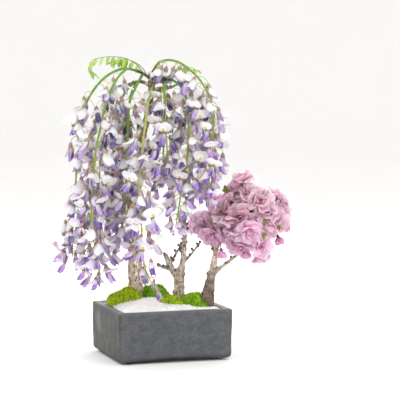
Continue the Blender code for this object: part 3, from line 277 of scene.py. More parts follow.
# ---------------------------------------------------------------- materials
class Finish:
    """A material and short ways to add nodes to it."""

    def __init__(self, name, roughness, through=()):
        """through is how light passes into it: weight, the reach of red, green and blue, and scale in mm."""
        self.made = bpy.data.materials.new(name)
        self.made.use_nodes = True
        self.tree = self.made.node_tree
        self.shader = self.tree.nodes["Principled BSDF"]
        self.shader.inputs["Roughness"].default_value = roughness
        if through:
            self.shader.inputs["Subsurface Weight"].default_value = through[0]
            self.shader.inputs["Subsurface Radius"].default_value = through[1]
            self.shader.inputs["Subsurface Scale"].default_value = through[2] * MM

    def put(self, node, socket, value):
        if isinstance(value, bpy.types.NodeSocket):
            self.tree.links.new(value, node.inputs[socket])
        elif value is not None:
            if node.inputs[socket].type == "RGBA" and len(value) == 3:
                value = (*value, 1.0)
            node.inputs[socket].default_value = value

    def node(self, kind, values=None, **settings):
        made = self.tree.nodes.new("ShaderNode" + kind)
        for key, value in settings.items():
            setattr(made, key, value)
        for socket, value in (values or {}).items():
            self.put(made, socket, value)
        return made

    def math(self, operation, a, b=None, c=None):
        return self.node("Math", {0: a, 1: b, 2: c}, operation=operation).outputs[0]

    def times(self, a, b):
        return self.math("MULTIPLY", a, b)

    def step(self, value, low, high):
        """0 under low, 1 over high, smooth between them; the other way round where low is over high."""
        values = {"Value": value, "From Min": min(low, high), "From Max": max(low, high)}
        values |= {"To Min": float(low > high), "To Max": float(low < high)}
        return self.node("MapRange", values, interpolation_type="SMOOTHSTEP").outputs["Result"]

    def mix(self, share, a, b, kind="MIX"):
        made = self.node("Mix", data_type="RGBA", blend_type=kind)
        self.put(made, 0, share)
        self.put(made, 6, a)
        self.put(made, 7, b)
        return made.outputs[2]

    def tint(self, colour, by):
        """The colour multiplied by another."""
        return self.mix(1.0, colour, by, "MULTIPLY")

    def layer(self, mask, share, under, over):
        """The colour over, laid on the colour under, by a share of the mask."""
        return self.mix(self.times(mask, share), under, over)

    def tone(self):
        """The colour that the mesh's points carry."""
        return self.node("Attribute", attribute_name="tone").outputs["Color"]

    def petal(self):
        """Across, along and side: a point's place on its own petal or leaf."""
        return self.parts(self.node("Attribute", attribute_name="petal").outputs["Vector"])

    def parts(self, vector):
        return self.node("SeparateXYZ", {0: vector}).outputs

    def place(self, stretch=(1, 1, 1)):
        """Object coordinates in millimetres, stretched."""
        where = self.node("TexCoord").outputs["Object"]
        return self.node("Mapping", {0: where, "Scale": tuple(s / MM for s in stretch)}).outputs[0]

    def noise(self, vector, size, detail=3.0, roughness=0.55, distortion=0.0):
        values = {"Vector": vector, "Scale": 1 / size, "Detail": detail}
        values |= {"Roughness": roughness, "Distortion": distortion}
        return self.node("TexNoise", values).outputs["Fac"]

    def cells(self, vector, size, feature="F1"):
        values = {"Vector": vector, "Scale": 1 / size}
        return self.node("TexVoronoi", values, feature=feature).outputs["Distance"]

    def bump(self, height, strength, distance_mm, after=None):
        made = self.node("Bump", {"Height": height, "Strength": strength, "Distance": distance_mm * MM})
        if after is not None:
            self.tree.links.new(after, made.inputs["Normal"])
        return made.outputs[0]

    def colour(self, value):
        self.put(self.shader, "Base Color", value)

    def rough(self, value):
        self.put(self.shader, "Roughness", value)

    def normal(self, value):
        self.put(self.shader, "Normal", value)


def petal_finish(name, vein, roughness, through, blotch=None, grain=0.10):
    """Petals: their own tone, fine veins that fan out along them, and a blotch at the throat.
    vein is a tint and its strength, through how much light they pass, grain how cloudy they are."""
    f = Finish(name, roughness, (through, (1.0, 0.75, 0.9), 2.2))
    across, along, side = f.petal()
    tone = f.tone()
    fan = f.times(across, 9.0)
    drift = f.noise(f.place(), 2.5, 2.0)
    ribs = f.math("SINE", f.math("ADD", f.times(fan, 2.4), f.times(drift, 5.0)))
    ribs = f.math("MULTIPLY_ADD", ribs, 0.5, 0.5)
    fade = f.step(along, 0.95, 0.35)
    share = f.times(f.times(ribs, fade), vein[1])
    colour = f.mix(share, tone, f.tint(tone, vein[0]))
    cloud = f.step(f.noise(f.place(), 4.0, 3.0), 0.35, 0.7)
    colour = f.layer(cloud, grain, colour, f.tint(colour, (0.80, 0.78, 0.84)))
    if blotch is not None:
        aside, ahead = f.times(across, 4.2), f.times(f.math("SUBTRACT", along, 0.31), 5.0)
        off = f.math("ADD", f.math("POWER", aside, 2.0), f.math("POWER", ahead, 2.0))
        face = f.step(side, -0.2, 0.4)
        colour = f.layer(f.step(off, 5.0, 1.0), face, colour, rgb(246, 242, 236))
        colour = f.layer(f.step(off, 1.1, 0.3), face, colour, blotch)
    f.colour(colour)
    f.normal(f.bump(ribs, 0.35, 0.25, f.bump(f.noise(f.place(), 1.2), 0.2, 0.15)))
    return f.made


THROAT_YELLOW = rgb(226, 205, 96)
LILAC_BANNER = petal_finish("wisteria_banner", ((0.70, 0.60, 0.86), 0.28), 0.55, 0.75, THROAT_YELLOW)
LILAC_WING = petal_finish("wisteria_wing", ((0.74, 0.62, 0.90), 0.32), 0.5, 0.6)
CHERRY_PETAL = petal_finish("cherry_petal_fine", ((0.92, 0.60, 0.78), 0.26), 0.6, 0.85, grain=0.03)


def green_finish(name, dark, size):
    """Stalks and calyces: their own tone, with freckles and soft stripes along them."""
    f = Finish(name, 0.5, (0.08, (0.6, 0.8, 0.3), 1.0))
    tone = f.tone()
    patch = f.step(f.noise(f.place(), size, 3.0), 0.35, 0.68)
    f.colour(f.mix(patch, tone, f.tint(tone, dark)))
    f.normal(f.bump(f.noise(f.place((1, 1, 0.3)), size / 3), 0.4, 0.2))
    return f.made


STALK_GREEN = green_finish("stalk_green", (0.72, 0.80, 0.62), 3.0)
CALYX = green_finish("calyx_skin", (0.66, 0.56, 0.58), 1.6)


def leaf_finish():
    f = Finish("young_leaf_fine", 0.45, (0.15, (0.6, 1.0, 0.2), 1.2))
    across, along, _ = f.petal()
    tone = f.tone()
    reach = f.math("ABSOLUTE", across)
    midrib = f.step(reach, 0.16, 0.03)
    slant = f.math("SUBTRACT", f.times(along, 60.0), f.times(reach, 9.0))
    veins = f.math("POWER", f.math("MULTIPLY_ADD", f.math("SINE", slant), 0.5, 0.5), 6.0)
    lines = f.math("MAXIMUM", midrib, f.times(veins, 0.5))
    cloud = f.step(f.noise(f.place(), 4.0), 0.35, 0.7)
    colour = f.layer(cloud, 0.5, tone, f.tint(tone, (0.62, 0.82, 0.55)))
    f.colour(f.layer(lines, 0.45, colour, f.mix(0.5, tone, (0.80, 0.86, 0.45))))
    f.normal(f.bump(lines, 0.5, 0.2))
    return f.made


LEAF = leaf_finish()

# ---------------------------------------------------------------- the woody stems
# Each limb is a list of (across, back, up, radius).
WISTERIA_TRUNK = [
    (-34, 22, BURIED_TO, 8.0), (-34, 22, 60, 10.8), (-34, 22, 78, 11.2), (-34, 22, 92, 9.9),
    (-35, 22, 110, 9.0), (-35, 20, 133, 8.2), (-37, 20, 162, 7.3), (-38, 20, 191, 6.5),
    (-33, 20, 214, 5.9), (-26, 18, 243, 5.3), (-25, 16, 277, 4.7), (-18, 14, 311, 4.3),
    (-13, 12, 339, 4.2), (-12, 12, 362, 4.6), (-12, 11, 368, 3.0),
]
WISTERIA_BRANCHES = [
    [(-13, 13, 350, 2.6), (-27, 32, 356, 2.4), (-45, 50, 352, 2.0)],
    [(-13, 12, 336, 3.0), (1, 26, 346, 3.2), (14, 40, 349, 2.4)],
    [(-12, 11, 354, 2.6), (2, -2, 359, 2.3), (16, -10, 358, 2.0)],
    [(-12, 11, 359, 2.6), (-22, -2, 366, 2.3), (-31, -11, 370, 1.9)],
]
CHERRY_LEFT = [
    [
        (23, 10, BURIED_TO, 6.0), (23, 10, 60, 7.6), (23, 10, 76, 8.2), (23, 10, 90, 6.4), (24, 10, 104, 6.0),
        (28, 10, 121, 4.0), (30, 10, 141, 3.5), (31, 10, 163, 2.9), (30, 10, 181, 2.0),
    ],
    [(23, 10, 96, 4.6), (13, 10, 113, 4.1), (8, 8, 125, 3.7), (5, 8, 132, 3.3)],
    [(13, 10, 111, 2.0), (3, 2, 114, 1.5), (-5, -4, 118, 1.3)],
    [(12, 10, 119, 1.9), (21, 18, 134, 1.5), (27, 22, 144, 1.1)],
    [(29, 10, 120, 2.1), (41, 14, 133, 1.6), (52, 20, 147, 1.2)],
]
CHERRY_RIGHT = [
    [
        (60, -13, BURIED_TO, 6.0), (60, -13, 58, 7.4), (60, -13, 74, 8.5), (62, -12, 88, 7.2),
        (64, -10, 99, 6.0), (67, -7, 112, 4.6), (70, -4, 129, 3.9), (73, 4, 141, 3.2),
        (83, 14, 154, 2.6), (94, 22, 171, 2.3), (104, 26, 191, 2.0), (107, 24, 208, 1.5),
    ],
    [
        (65, -9, 103, 3.0), (76, -4, 114, 2.5), (89, 2, 123, 2.2), (102, 8, 134, 2.0), (114, 14, 147, 1.9),
        (126, 20, 161, 1.8), (138, 24, 175, 1.6), (146, 24, 189, 1.3),
    ],
    [(70, -4, 128, 2.0), (68, 10, 138, 1.7), (62, 22, 148, 1.5), (54, 33, 159, 1.2)],
]


def bark_finish(name, light, dark, crack, lenticels=False):
    """Bark: fibres that run up, cracks between plates, weathered patches, and pale bands on a cherry."""
    f = Finish(name, 0.88)
    grain = f.place((1, 1, 0.28))
    fibre = f.noise(grain, 1.6, 5.0, 0.65, 0.6)
    plates = f.cells(grain, 3.4, "DISTANCE_TO_EDGE")
    cracked = f.step(f.noise(f.place(), 6.0, 3.0), *((0.54, 0.68) if lenticels else (0.46, 0.62)))
    cracks = f.times(f.step(plates, 0.10, 0.02), cracked)
    patch = f.step(f.noise(f.place(), 12.0, 4.0), 0.36, 0.66)
    tone = f.tone()
    colour = f.mix(f.step(fibre, 0.3, 0.72), dark, light)
    colour = f.layer(patch, 0.45, colour, f.tint(colour, (0.62, 0.58, 0.52)))
    if lenticels:
        bands = f.step(f.noise(f.place((0.25, 0.25, 1.6)), 2.2, 2.0), 0.66, 0.72)
        colour = f.layer(bands, 0.55, colour, rgb(190, 176, 156))
    colour = f.mix(cracks, colour, crack)
    f.colour(f.tint(colour, tone))
    f.rough(f.math("MULTIPLY_ADD", fibre, 0.2, 0.72))
    f.normal(f.bump(f.math("SUBTRACT", fibre, cracks), 0.8, 0.5))
    return f.made


WISTERIA_BARK = bark_finish("wisteria_bark_fine", rgb(244, 234, 216), rgb(166, 144, 120), rgb(62, 48, 38))
CHERRY_BARK = bark_finish("cherry_bark_fine", rgb(222, 216, 206), rgb(140, 127, 114), rgb(40, 31, 26), True)

# How each trunk's bark is tinted, by height.
WISTERIA_TINTS = [
    (60, (0.5, 0.45, 0.42)), (82, (0.72, 0.68, 0.66)), (90, (0.98, 0.95, 0.95)), (110, (1.02, 0.99, 1.02)),
    (250, (1.0, 0.94, 0.9)), (330, (0.50, 0.45, 0.38)), (366, (0.34, 0.32, 0.24)),
]
STUB_TINTS = [
    (70, (1.12, 0.98, 0.82)), (84, (1.22, 1.10, 0.96)), (104, (1.06, 0.97, 0.88)), (118, (1.14, 1.14, 1.16)),
    (180, (1.04, 1.06, 1.10)),
]
TREE_TINTS = [
    (70, (0.34, 0.28, 0.24)), (96, (0.42, 0.36, 0.32)), (108, (0.60, 0.54, 0.48)), (117, (1.12, 1.11, 1.03)),
    (190, (1.0, 0.94, 0.88)),
]
BUD_TINT = (0.34, 0.20, 0.17)
SPINE_STEP, LIMB_STEP, LIMB_SIDES, SWELLING = 1.5, 2.0, 20, 0.10
THIN_LIMB = 4.5  # buds are tinted only on limbs thinner than this
BATCH = 4000  # points of a skin that are measured against the limbs at a time


def limb_rows(points, step):
    """Places along a limb, and its radius at each."""
    rows = smooth_path(points, step)
    return np.array([world(*row[:3]) for row in rows]), rows[:, 3]


def spine_of(limbs):
    """The middle line of some limbs together, and its radius at each point."""
    centres, radii = zip(*[limb_rows(points, SPINE_STEP) for points in limbs])
    return np.concatenate(centres), np.concatenate(radii)


def nearest(spine, thick, point, lowest=-math.inf):
    """The place on a middle line whose bark is nearest a point, among those at least so high."""
    away = np.linalg.norm(spine - np.array(point), axis=1) - thick
    away[spine[:, 2] < lowest] = math.inf
    return Vector(spine[away.argmin()])


def swelling(count, seed):
    """Gentle knots along a limb of so many places."""
    draw = random.Random(seed)
    phases = [draw.uniform(0, 6.28) for _ in range(3)]
    run = np.arange(count)
    return 1 + SWELLING * (np.sin(run / 3.1 + phases[0]) * 0.5 + np.sin(run / 1.37 + phases[1]) * 0.3)


def skin_over(name, bulk, voxel):
    """One smooth skin round all the limbs in a bulk, with its points in mm and its normals."""
    rough = placed(name + "_rough", bulk.mesh(name + "_rough", []))
    remesh = rough.modifiers.new("skin", "REMESH")
    remesh.mode, remesh.voxel_size = "VOXEL", voxel * MM
    smooth = rough.modifiers.new("ease", "SMOOTH")
    smooth.factor, smooth.iterations = 0.5, 2
    mesh = applied(rough)
    bpy.data.objects.remove(rough)
    points, normals = np.zeros(len(mesh.vertices) * 3), np.zeros(len(mesh.vertices) * 3)
    mesh.vertices.foreach_get("co", points)
    mesh.vertices.foreach_get("normal", normals)
    return mesh, points.reshape(-1, 3) / MM, normals.reshape(-1, 3)


def limb_under(points, spine, thick):
    """The radius of the limb under each point of a skin, and how far the point stands out of it."""
    reach, off = np.zeros(len(points)), np.zeros(len(points))
    for start in range(0, len(points), BATCH):
        part = slice(start, start + BATCH)
        away = np.linalg.norm(points[part, None] - spine[None], axis=2) - thick[None] * 0.6
        reach[part] = thick[away.argmin(1)]
        off[part] = away.min(1) - reach[part] * 0.4
    return reach, off


def bark_at(p, reach, tint, depth, seed, steep, marks):
    """How far the bark is raised at a place on a limb of radius reach, and its colour there, with painted
    shade in its grooves.
    """
    thickness = min(1.0, max(0.12, (reach - 1.6) / 4.5))
    warp = noise.noise(p / 9.0 + Vector((seed, 0, 0))) * 1.6
    ridge = 1 - abs(noise.noise(Vector((p.x / 2.9 + warp, p.y / 2.9 - warp, p.z / steep)))) * 2.6
    fine = noise.noise(Vector((p.x, p.y, p.z * 0.6)) / 1.3)
    lump = noise.noise(p / 7.0 + Vector((0, seed, 0)))
    lift = thickness * depth * (0.7 * (ridge - 0.55) + 0.25 * fine) + lump * thickness
    # painted shade: the bark is darker in the grooves between its ridges
    shade = 0.78 + 0.22 * float(smoothstep(-0.15, 0.5, ridge)) if thickness > 0.2 else 0.9
    foot = 0.72 + 0.28 * float(smoothstep(66, 90, p.z))
    thin = 1.0 - 0.25 * float(smoothstep(3.0, 1.6, reach))
    blotch = float(smoothstep(0.05, 0.30, noise.noise(p / 8.0 + Vector((0, 0, seed * 3)))))
    streak = Vector((p.x / marks[0], p.y / marks[0], p.z / marks[1]))
    fleck = float(smoothstep(0.05, 0.42, noise.noise(streak + Vector((seed * 2, 0, 0)))))
    return lift, tint * shade * foot * thin * (1 + 0.42 * blotch) * (1 - 0.34 * fleck)


def wood_mesh(name, limbs, extra, finish, tints, voxel, depth, seed, steep, marks, bud=(1, 1, 1)):
    """Limbs grown together into one skin, with fissured bark raised on the thick ones.
    extra is more tubes, as (line, radii). depth is how far the bark is raised, steep how far a fissure runs
    up, marks how wide and how tall the dark marks are, and bud tints what stands out of a limb."""
    bulk = Bulk()
    axes, widths = [], []
    for number, points in enumerate(limbs):
        centres, radii = limb_rows(points, LIMB_STEP)
        radii = radii * swelling(len(radii), seed + number)
        axes.append(centres)
        widths.append(radii)
        bulk.add(*tube(centres, radii, LIMB_SIDES)[:3])
    for centres, radii in extra:
        bulk.add(*tube(centres, radii, 8)[:3])
    mesh, points, normals = skin_over(name, bulk, voxel)
    reach, off = limb_under(points, np.concatenate(axes), np.concatenate(widths))
    heights = [height for height, _ in tints]
    tint = np.stack([np.interp(points[:, 2], heights, [t[k] for _, t in tints]) for k in range(3)], 1)
    tone = np.zeros_like(points)
    for i in range(len(points)):
        lift, tone[i] = bark_at(Vector(points[i]), reach[i], tint[i], depth, seed, steep, marks)
        points[i] += normals[i] * lift
        scale = float(smoothstep(0.5, 1.2, off[i])) if reach[i] < THIN_LIMB else 0.0
        tone[i] = tone[i] * (1 - scale) + np.array(bud) * scale
    mesh.vertices.foreach_set("co", (points * MM).ravel())
    set_tone(mesh, tone)
    mesh.polygons.foreach_set("use_smooth", [True] * len(mesh.polygons))
    mesh.materials.clear()
    mesh.materials.append(finish)
    mesh.update()
    return mesh


def spurs(points, count, seed, length=(2.6, 4.4)):
    """Short pointed buds with overlapping scales that stand out of a twig."""
    draw = random.Random(seed)
    centres, radii = limb_rows(points, SPINE_STEP)
    made = []
    for k in range(count):
        i = min(len(centres) - 1, int(len(centres) * (k + 0.6) / (count + 0.3)))
        angle = 2.4 * k + draw.uniform(-0.5, 0.5)
        out = outward(angle, 0.9)
        out /= np.linalg.norm(out)
        reach = radii[i] + draw.uniform(*length)
        line = [centres[i] + out * reach * t for t in (0, 0.35, 0.5, 0.62, 0.72, 0.86, 1.0)]
        made.append((line, [1.4, 1.3, 2.1, 1.8, 1.9, 1.2, 0.25]))
    return made


# ---------------------------------------------------------------- where the florets hang
BANNER_LENGTH, BANNER_HALF = 14.5, 11.0
KEEL_LENGTH, KEEL_HALF = 17.5, 5.2
BUD_LENGTH, BUD_HALF = 20.5, 6.2
PEDICEL_OUT, PEDICEL_DOWN, PEDICEL_RADIUS = 12.0, 7.0, 0.45
OPEN_FROM = 0.5
STALK_RADIUS, STALK_TIP_RADIUS, STALK_STEP = 1.75, 0.8, 17.0
CLEARANCE, GAP = 0.5, 0.3
CLEAR_ABOVE_POT, CLEAR_BESIDE_POT = 96, 80  # lower than this, a floret hangs beside the pot or not at all
GOLDEN_TURN = math.radians(137.5)
TRY_TURNS = [math.radians(t) for t in (0, 22, -22, 44, -44, 68, -68, 95, -95, 125, -125)]


class Crowd:
    """The space already taken, as rounded segments, each with the name of what it belongs to."""

    def __init__(self):
        self.starts, self.ends, self.radii, self.owners = [], [], [], []

    def take(self, start, end, radius, owner):
        self.starts.append(tuple(start))
        self.ends.append(tuple(end))
        self.radii.append(radius)
        self.owners.append(owner)

    def take_line(self, points, radii, owner):
        for i in range(len(points) - 1):
            self.take(points[i], points[i + 1], max(radii[i], radii[i + 1]), owner)

    def room(self, start, end, radius, keep, ease=1.0):
        if not keep.any():
            return math.inf
        p, q = np.array(self.starts)[keep], np.array(self.ends)[keep]
        reach = (np.array(self.radii)[keep] + radius) * ease
        return float((segment_distances(np.array(start), np.array(end), p, q) - reach).min())

    def others(self, owner):
        return np.array([o != owner for o in self.owners])

    def own(self, owner):
        return np.array([o == owner and r > 2.0 for o, r in zip(self.owners, self.radii)])


def segment_distances(a, b, p, q):
    d1, d2, r = b - a, q - p, a - p
    aa = max(float(d1 @ d1), 1e-9)
    ee = np.maximum((d2 * d2).sum(1), 1e-9)
    bb, cc, ff = d2 @ d1, r @ d1, (d2 * r).sum(1)
    denominator = np.maximum(aa * ee - bb * bb, 1e-9)
    s = np.clip((bb * ff - cc * ee) / denominator, 0, 1)
    t = (bb * s + ff) / ee
    s = np.where(t < 0, np.clip(-cc / aa, 0, 1), np.where(t > 1, np.clip((bb - cc) / aa, 0, 1), s))
    t = np.clip(t, 0, 1)
    return np.linalg.norm((a + s[:, None] * d1) - (p + t[:, None] * d2), axis=1)


def floret_axis(opening):
    pitch = math.radians(-82 + 40 * opening)
    return Vector((0, math.cos(pitch), math.sin(pitch)))


def banner_pitch(opening):
    return math.radians(-20 + 88 * opening)


def floret_envelope(opening, size):
    axis = floret_axis(opening)
    if opening <= OPEN_FROM:
        return [(axis * 2, axis * BUD_LENGTH * size * 0.8, BUD_HALF * size * 0.92)]
    pitch = banner_pitch(opening) + math.radians(6)
    middle = Vector((0, math.cos(pitch), math.sin(pitch))) * BANNER_LENGTH * size * 0.6
    side = Vector((BANNER_HALF * size * 0.5, 0, 0))
    return [
        (axis * 2, axis * KEEL_LENGTH * size * 0.9, KEEL_HALF * size * 0.95),
        (middle + side, middle - side, BANNER_HALF * size * 0.5),
    ]


class Floret:
    """Where one floret hangs: its place on the stalk, its own frame, its size and how open it is."""

    def __init__(self, place, turn, reach, drop, size, opening, share):
        self.place, self.size, self.opening, self.share = place, size, opening, share
        out = Vector(outward(turn))
        self.end = place + out * PEDICEL_OUT * reach * (0.55 + 0.45 * size)
        self.end.z -= PEDICEL_DOWN * drop * size
        self.matrix = frame_matrix(self.end, out.cross(UP), out, UP)
        self.envelope = [(place, self.end, PEDICEL_RADIUS + 0.3)]
        for a, b, radius in floret_envelope(opening, size):
            self.envelope.append((self.matrix @ a, self.matrix @ b, radius))

    def low(self):
        return min(min(a.z, b.z) - radius for a, b, radius in self.envelope)

    def fits(self, crowd, owner, ease=1.0, own_ease=0.8):
        if self.low() < CLEAR_ABOVE_POT and max(abs(self.end.x), abs(self.end.y)) < CLEAR_BESIDE_POT:
            return False
        if any(beyond_reach(p, radius) > STANDS_OUT for a, b, radius in self.envelope[1:] for p in (a, b)):
            return False
        others, own = crowd.others(owner), crowd.own(owner)
        if any(crowd.room(a, b, r, others, ease) < CLEARANCE * ease for a, b, r in self.envelope):
            return False
        return all(crowd.room(a, b, r, own, own_ease) > 0 for a, b, r in self.envelope[1:])


SPARSE = "raceme_centre"  # it has shed many of its florets


class Raceme:
    """A hanging flower stem: its stalk, how much of it is bare, and its florets in a spiral."""

    def __init__(self, name, stem, bare, count, turn, opened, tip_size=0.6):
        self.name, self.stem, self.bare, self.count = name, stem, bare, count
        self.turn, self.opened, self.tip_size = turn, opened, tip_size
        self.sparse = name == SPARSE
        self.florets = []

    def lay(self, spine, thick, bark):
        """Runs the stalk from the wood that carries it, and drops the part that is inside the bark."""
        start = nearest(spine, thick, world(*self.stem[0]))
        route = [start, *[world(*place) for place in self.stem[1:]]]
        close = [Vector(row) for row in smooth_path(route, 0.25)]
        self.root = close[0]
        for i in range(len(close) - 2):
            ahead = (close[i + 1] - close[i]).normalized()
            side = ahead.orthogonal().normalized() * STALK_RADIUS
            ring = [close[i] + Matrix.Rotation(math.pi / 4 * k, 3, ahead) @ side for k in range(8)]
            if all(off_bark(bark, p) > GAP for p in ring):
                close = close[i:]
                break
        gone = [0.0]
        for a, b in zip(close, close[1:]):
            gone.append(gone[-1] + (b - a).length)
        count = round(gone[-1] / STALK_STEP)
        marks = [gone[-1] * k / count for k in range(count + 1)]
        self.length = gone[-1]
        self.centres = [close[min(int(np.searchsorted(gone, m)), len(close) - 1)] for m in marks]

    def radii(self):
        return list(np.linspace(STALK_RADIUS, STALK_TIP_RADIUS, len(self.centres)))

    def size_at(self, share):
        """How large a floret is, smaller towards the tip."""
        return 1 - (1 - self.tip_size) * max(0.0, (share - 0.7) / 0.3)

    def hang(self, floret, crowd):
        for start, end, radius in floret.envelope:
            crowd.take(start, end, radius, self.name)
        self.florets.append(floret)

    def at(self, share):
        run = share * (len(self.centres) - 1)
        i = min(int(run), len(self.centres) - 2)
        return self.centres[i].lerp(self.centres[i + 1], run - i)


def off_bark(bark, point):
    spot, normal, _, distance = bark.find_nearest(point)
    return distance if (point - spot).dot(normal) > 0 else -distance


# Each raceme: name, its stem from the crown on (across, back, up), how much of it is bare, florets, the first
# one's turn, how many are open, and the size of the last ones where it isn't the usual.
RACEMES = [Raceme(*row) for row in (
    ("raceme_far_left", [(-27, -7, 368), (-38, -5, 373), (-55, -8, 371), (-72, -12, 361), (-87, -12, 344),
     (-97, -12, 325), (-104, -12, 303), (-107, -12, 275), (-109, -12, 240), (-111, -12, 200),
     (-114, -12, 160), (-114, -12, 130)], 0.18, 19, 0.3, 0.45, 0.85),
    ("raceme_left_front", [(-31, -11, 370), (-40, -22, 373), (-50, -32, 366), (-60, -41, 350),
     (-69, -46, 327), (-75, -48, 299), (-81, -48, 272), (-84, -48, 240), (-87, -48, 206), (-87, -48, 174),
     (-82, -48, 140), (-76, -48, 110)], 0.08, 20, 1.1, 0.6, 0.85),
    ("raceme_left_middle", [(-38, 43, 354), (-44, 36, 347), (-54, 27, 329), (-60, 18, 300), (-62, 16, 270),
     (-64, 16, 234), (-66, 16, 195), (-68, 16, 150), (-68, 16, 134)], 0.12, 15, 2.0, 0.5, 0.85),
    ("raceme_centre_left", [(-24, -3, 367), (-27, -9, 357), (-34, -14, 345), (-40, -18, 326),
     (-42, -20, 294), (-44, -20, 256), (-45, -20, 217), (-46, -20, 165)], 0.10, 17, 0.0, 0.8, 0.85),
    ("raceme_centre", [(-11, 4, 358), (-14, -30, 337), (-18, -50, 306), (-23, -58, 264), (-26, -60, 232),
     (-25, -60, 200), (-23, -60, 164), (-22, -60, 136), (-17, -60, 116), (-9, -60, 99), (0, -60, 88)],
     0.28, 13, 2.6, 0.8, 0.9),
    ("raceme_back_left", [(-45, 50, 352), (-64, 62, 345), (-78, 66, 312), (-82, 66, 265), (-84, 66, 211),
     (-84, 66, 150)], 0.16, 14, 1.7, 0.5),
    ("raceme_back", [(-31, 36, 355), (-35, 52, 352), (-42, 67, 336), (-45, 74, 308), (-47, 74, 262),
     (-47, 74, 185)], 0.16, 11, 0.8, 0.5),
    ("raceme_back_middle", [(3, 28, 347), (4, 42, 343), (5, 50, 328), (3, 53, 302), (2, 53, 262),
     (0, 53, 215)], 0.14, 10, 2.9, 0.5),
    ("raceme_centre_right", [(3, -6, 355), (5, -24, 343), (6, -35, 320), (8, -37, 282), (11, -37, 238)],
     0.08, 12, 0.4, 0.7),
    ("raceme_right_front", [(16, -10, 358), (28, -20, 348), (35, -30, 323), (36, -32, 288), (33, -32, 250),
     (27, -32, 218), (22, -32, 185), (19, -32, 170)], 0.10, 16, 1.4, 0.5),
    ("raceme_right_middle", [(9, -6, 359), (20, -1, 365), (33, -2, 362), (46, 0, 345), (53, 3, 318),
     (55, 4, 287), (52, 4, 248), (47, 4, 214)], 0.24, 13, 2.2, 0.5),
    ("raceme_right", [(-12, 11, 366), (-6, 3, 377), (3, -7, 383), (17, -16, 383), (32, -26, 376),
     (50, -34, 359), (61, -38, 339), (67, -40, 307), (67, -40, 269), (63, -40, 236), (60, -40, 206)],
     0.08, 19, 0.1, 0.6),
    ("raceme_back_right", [(16, 43, 350), (27, 56, 352), (37, 66, 334), (40, 68, 298), (39, 68, 251),
     (36, 68, 208)], 0.18, 11, 1.9, 0.5),
)]
EXTRA, BACK_EXTRA = 1.2, 0.6  # florets added in here for each one of the solids
LOW_LEAN = 0.50  # under 1 sets more of them low on the raceme
FEWER_OR_MORE = {
    "raceme_centre": 0.9, "raceme_centre_right": 0.7, "raceme_right_middle": 1.0,
    "raceme_right": 1.15, "raceme_right_front": 1.15,
    "raceme_far_left": 1.5, "raceme_left_front": 1.4, "raceme_left_middle": 1.0,
}
# How far the flowers reach to the left and to the right of the pot's middle, by height, and how far a
# single floret may stand out beyond that.
REACH_LEFT = (
    (92, -134), (170, -132), (206, -123), (231, -114), (308, -114), (322, -111), (344, -98), (390, -60),
)
REACH_RIGHT = ((92, 20), (160, 50), (175, 68), (227, 80), (310, 84), (344, 76), (390, 40))
STANDS_OUT = 12.0
TOP_FLORETS = 2
EASED, OWN_EASED = 0.54, 0.45  # how near the added ones may press on other racemes and on their own
ADDED_TURNS, ADDED_TURN = 14, 0.45
FLORET_HALF = 8.0

# Each bloom: name, heart of the flower (across, back, up), the way it faces, radius in millimetres.
BLOOMS = [
    ("blossom_top", (105, 6, 223), (-0.5, -0.4, 0.8), 16.5),
    ("blossom_upper_left", (92, -4, 198), (-0.1, -1.0, 0.1), 15.0),
    ("blossom_upper_back", (120, 28, 208), (0.2, 0.5, 0.8), 14.0),
    ("blossom_upper_right", (127, -10, 202), (0.1, -1.0, 0.2), 15.5),
    ("blossom_right_high", (149, 16, 203), (0.6, -0.2, 0.8), 16.0),
    ("blossom_middle_left", (86, 7, 170), (-0.3, -0.9, -0.3), 16.5),
    ("blossom_front", (113, -22, 166), (0.1, -0.8, -0.6), 17.5),
    ("blossom_centre", (118, 6, 184), (0.1, -1.0, 0.3), 14.5),
    ("blossom_right", (147, -6, 177), (0.4, -0.9, 0.1), 16.0),
    ("blossom_far_right", (158, 24, 176), (0.9, 0.1, 0.2), 14.5),
    ("blossom_low_left", (66, 4, 158), (-0.5, -0.8, -0.4), 15.0),
    ("blossom_left_back", (46, 44, 168), (-0.8, 0.0, 0.3), 14.5),
    ("blossom_low_middle", (96, -4, 150), (-0.2, -0.9, -0.4), 13.0),
    ("blossom_low_right", (128, -8, 144), (0.3, -0.9, -0.1), 13.5),
    ("blossom_lowest", (128, 14, 132), (0.2, -0.3, -0.9), 13.5),
    ("blossom_back_left", (78, 46, 188), (-0.3, 0.9, 0.3), 15.5),
    ("blossom_back", (112, 54, 184), (0.1, 1.0, 0.1), 16.0),
    ("blossom_back_right", (142, 48, 166), (0.5, 0.8, -0.1), 15.5),
]
# Blooms between them that the solids leave out.
MORE_BLOOMS = [
    ("blossom_more_1", (100, 2, 211), (-0.2, -0.9, 0.5), 15.0),
    ("blossom_more_2", (113, -6, 208), (0.3, -0.8, 0.6), 14.5),
    ("blossom_more_3", (80, -6, 186), (-0.5, -0.7, 0.4), 15.0),
    ("blossom_more_4", (102, -16, 182), (0.0, -0.9, -0.3), 15.5),
    ("blossom_more_5", (136, -10, 188), (0.2, -0.9, 0.1), 15.0),
    ("blossom_more_6", (98, -14, 167), (-0.2, -0.5, -0.9), 15.5),
    ("blossom_more_7", (56, 8, 170), (-0.4, -0.9, 0.1), 14.0),
    ("blossom_more_8", (84, -20, 186), (-0.1, -0.2, -1.0), 16.0),
    ("blossom_more_10", (104, -6, 143), (0.0, -0.7, -0.6), 13.0),
    ("blossom_more_11", (72, 6, 177), (-0.6, -0.7, 0.3), 14.5),
    ("blossom_more_13", (154, 6, 190), (0.6, -0.6, 0.3), 13.5),
    ("blossom_more_14", (96, 40, 172), (-0.1, 1.0, -0.1), 15.0),
    ("blossom_more_15", (126, 46, 192), (0.2, 0.9, 0.4), 15.0),
]
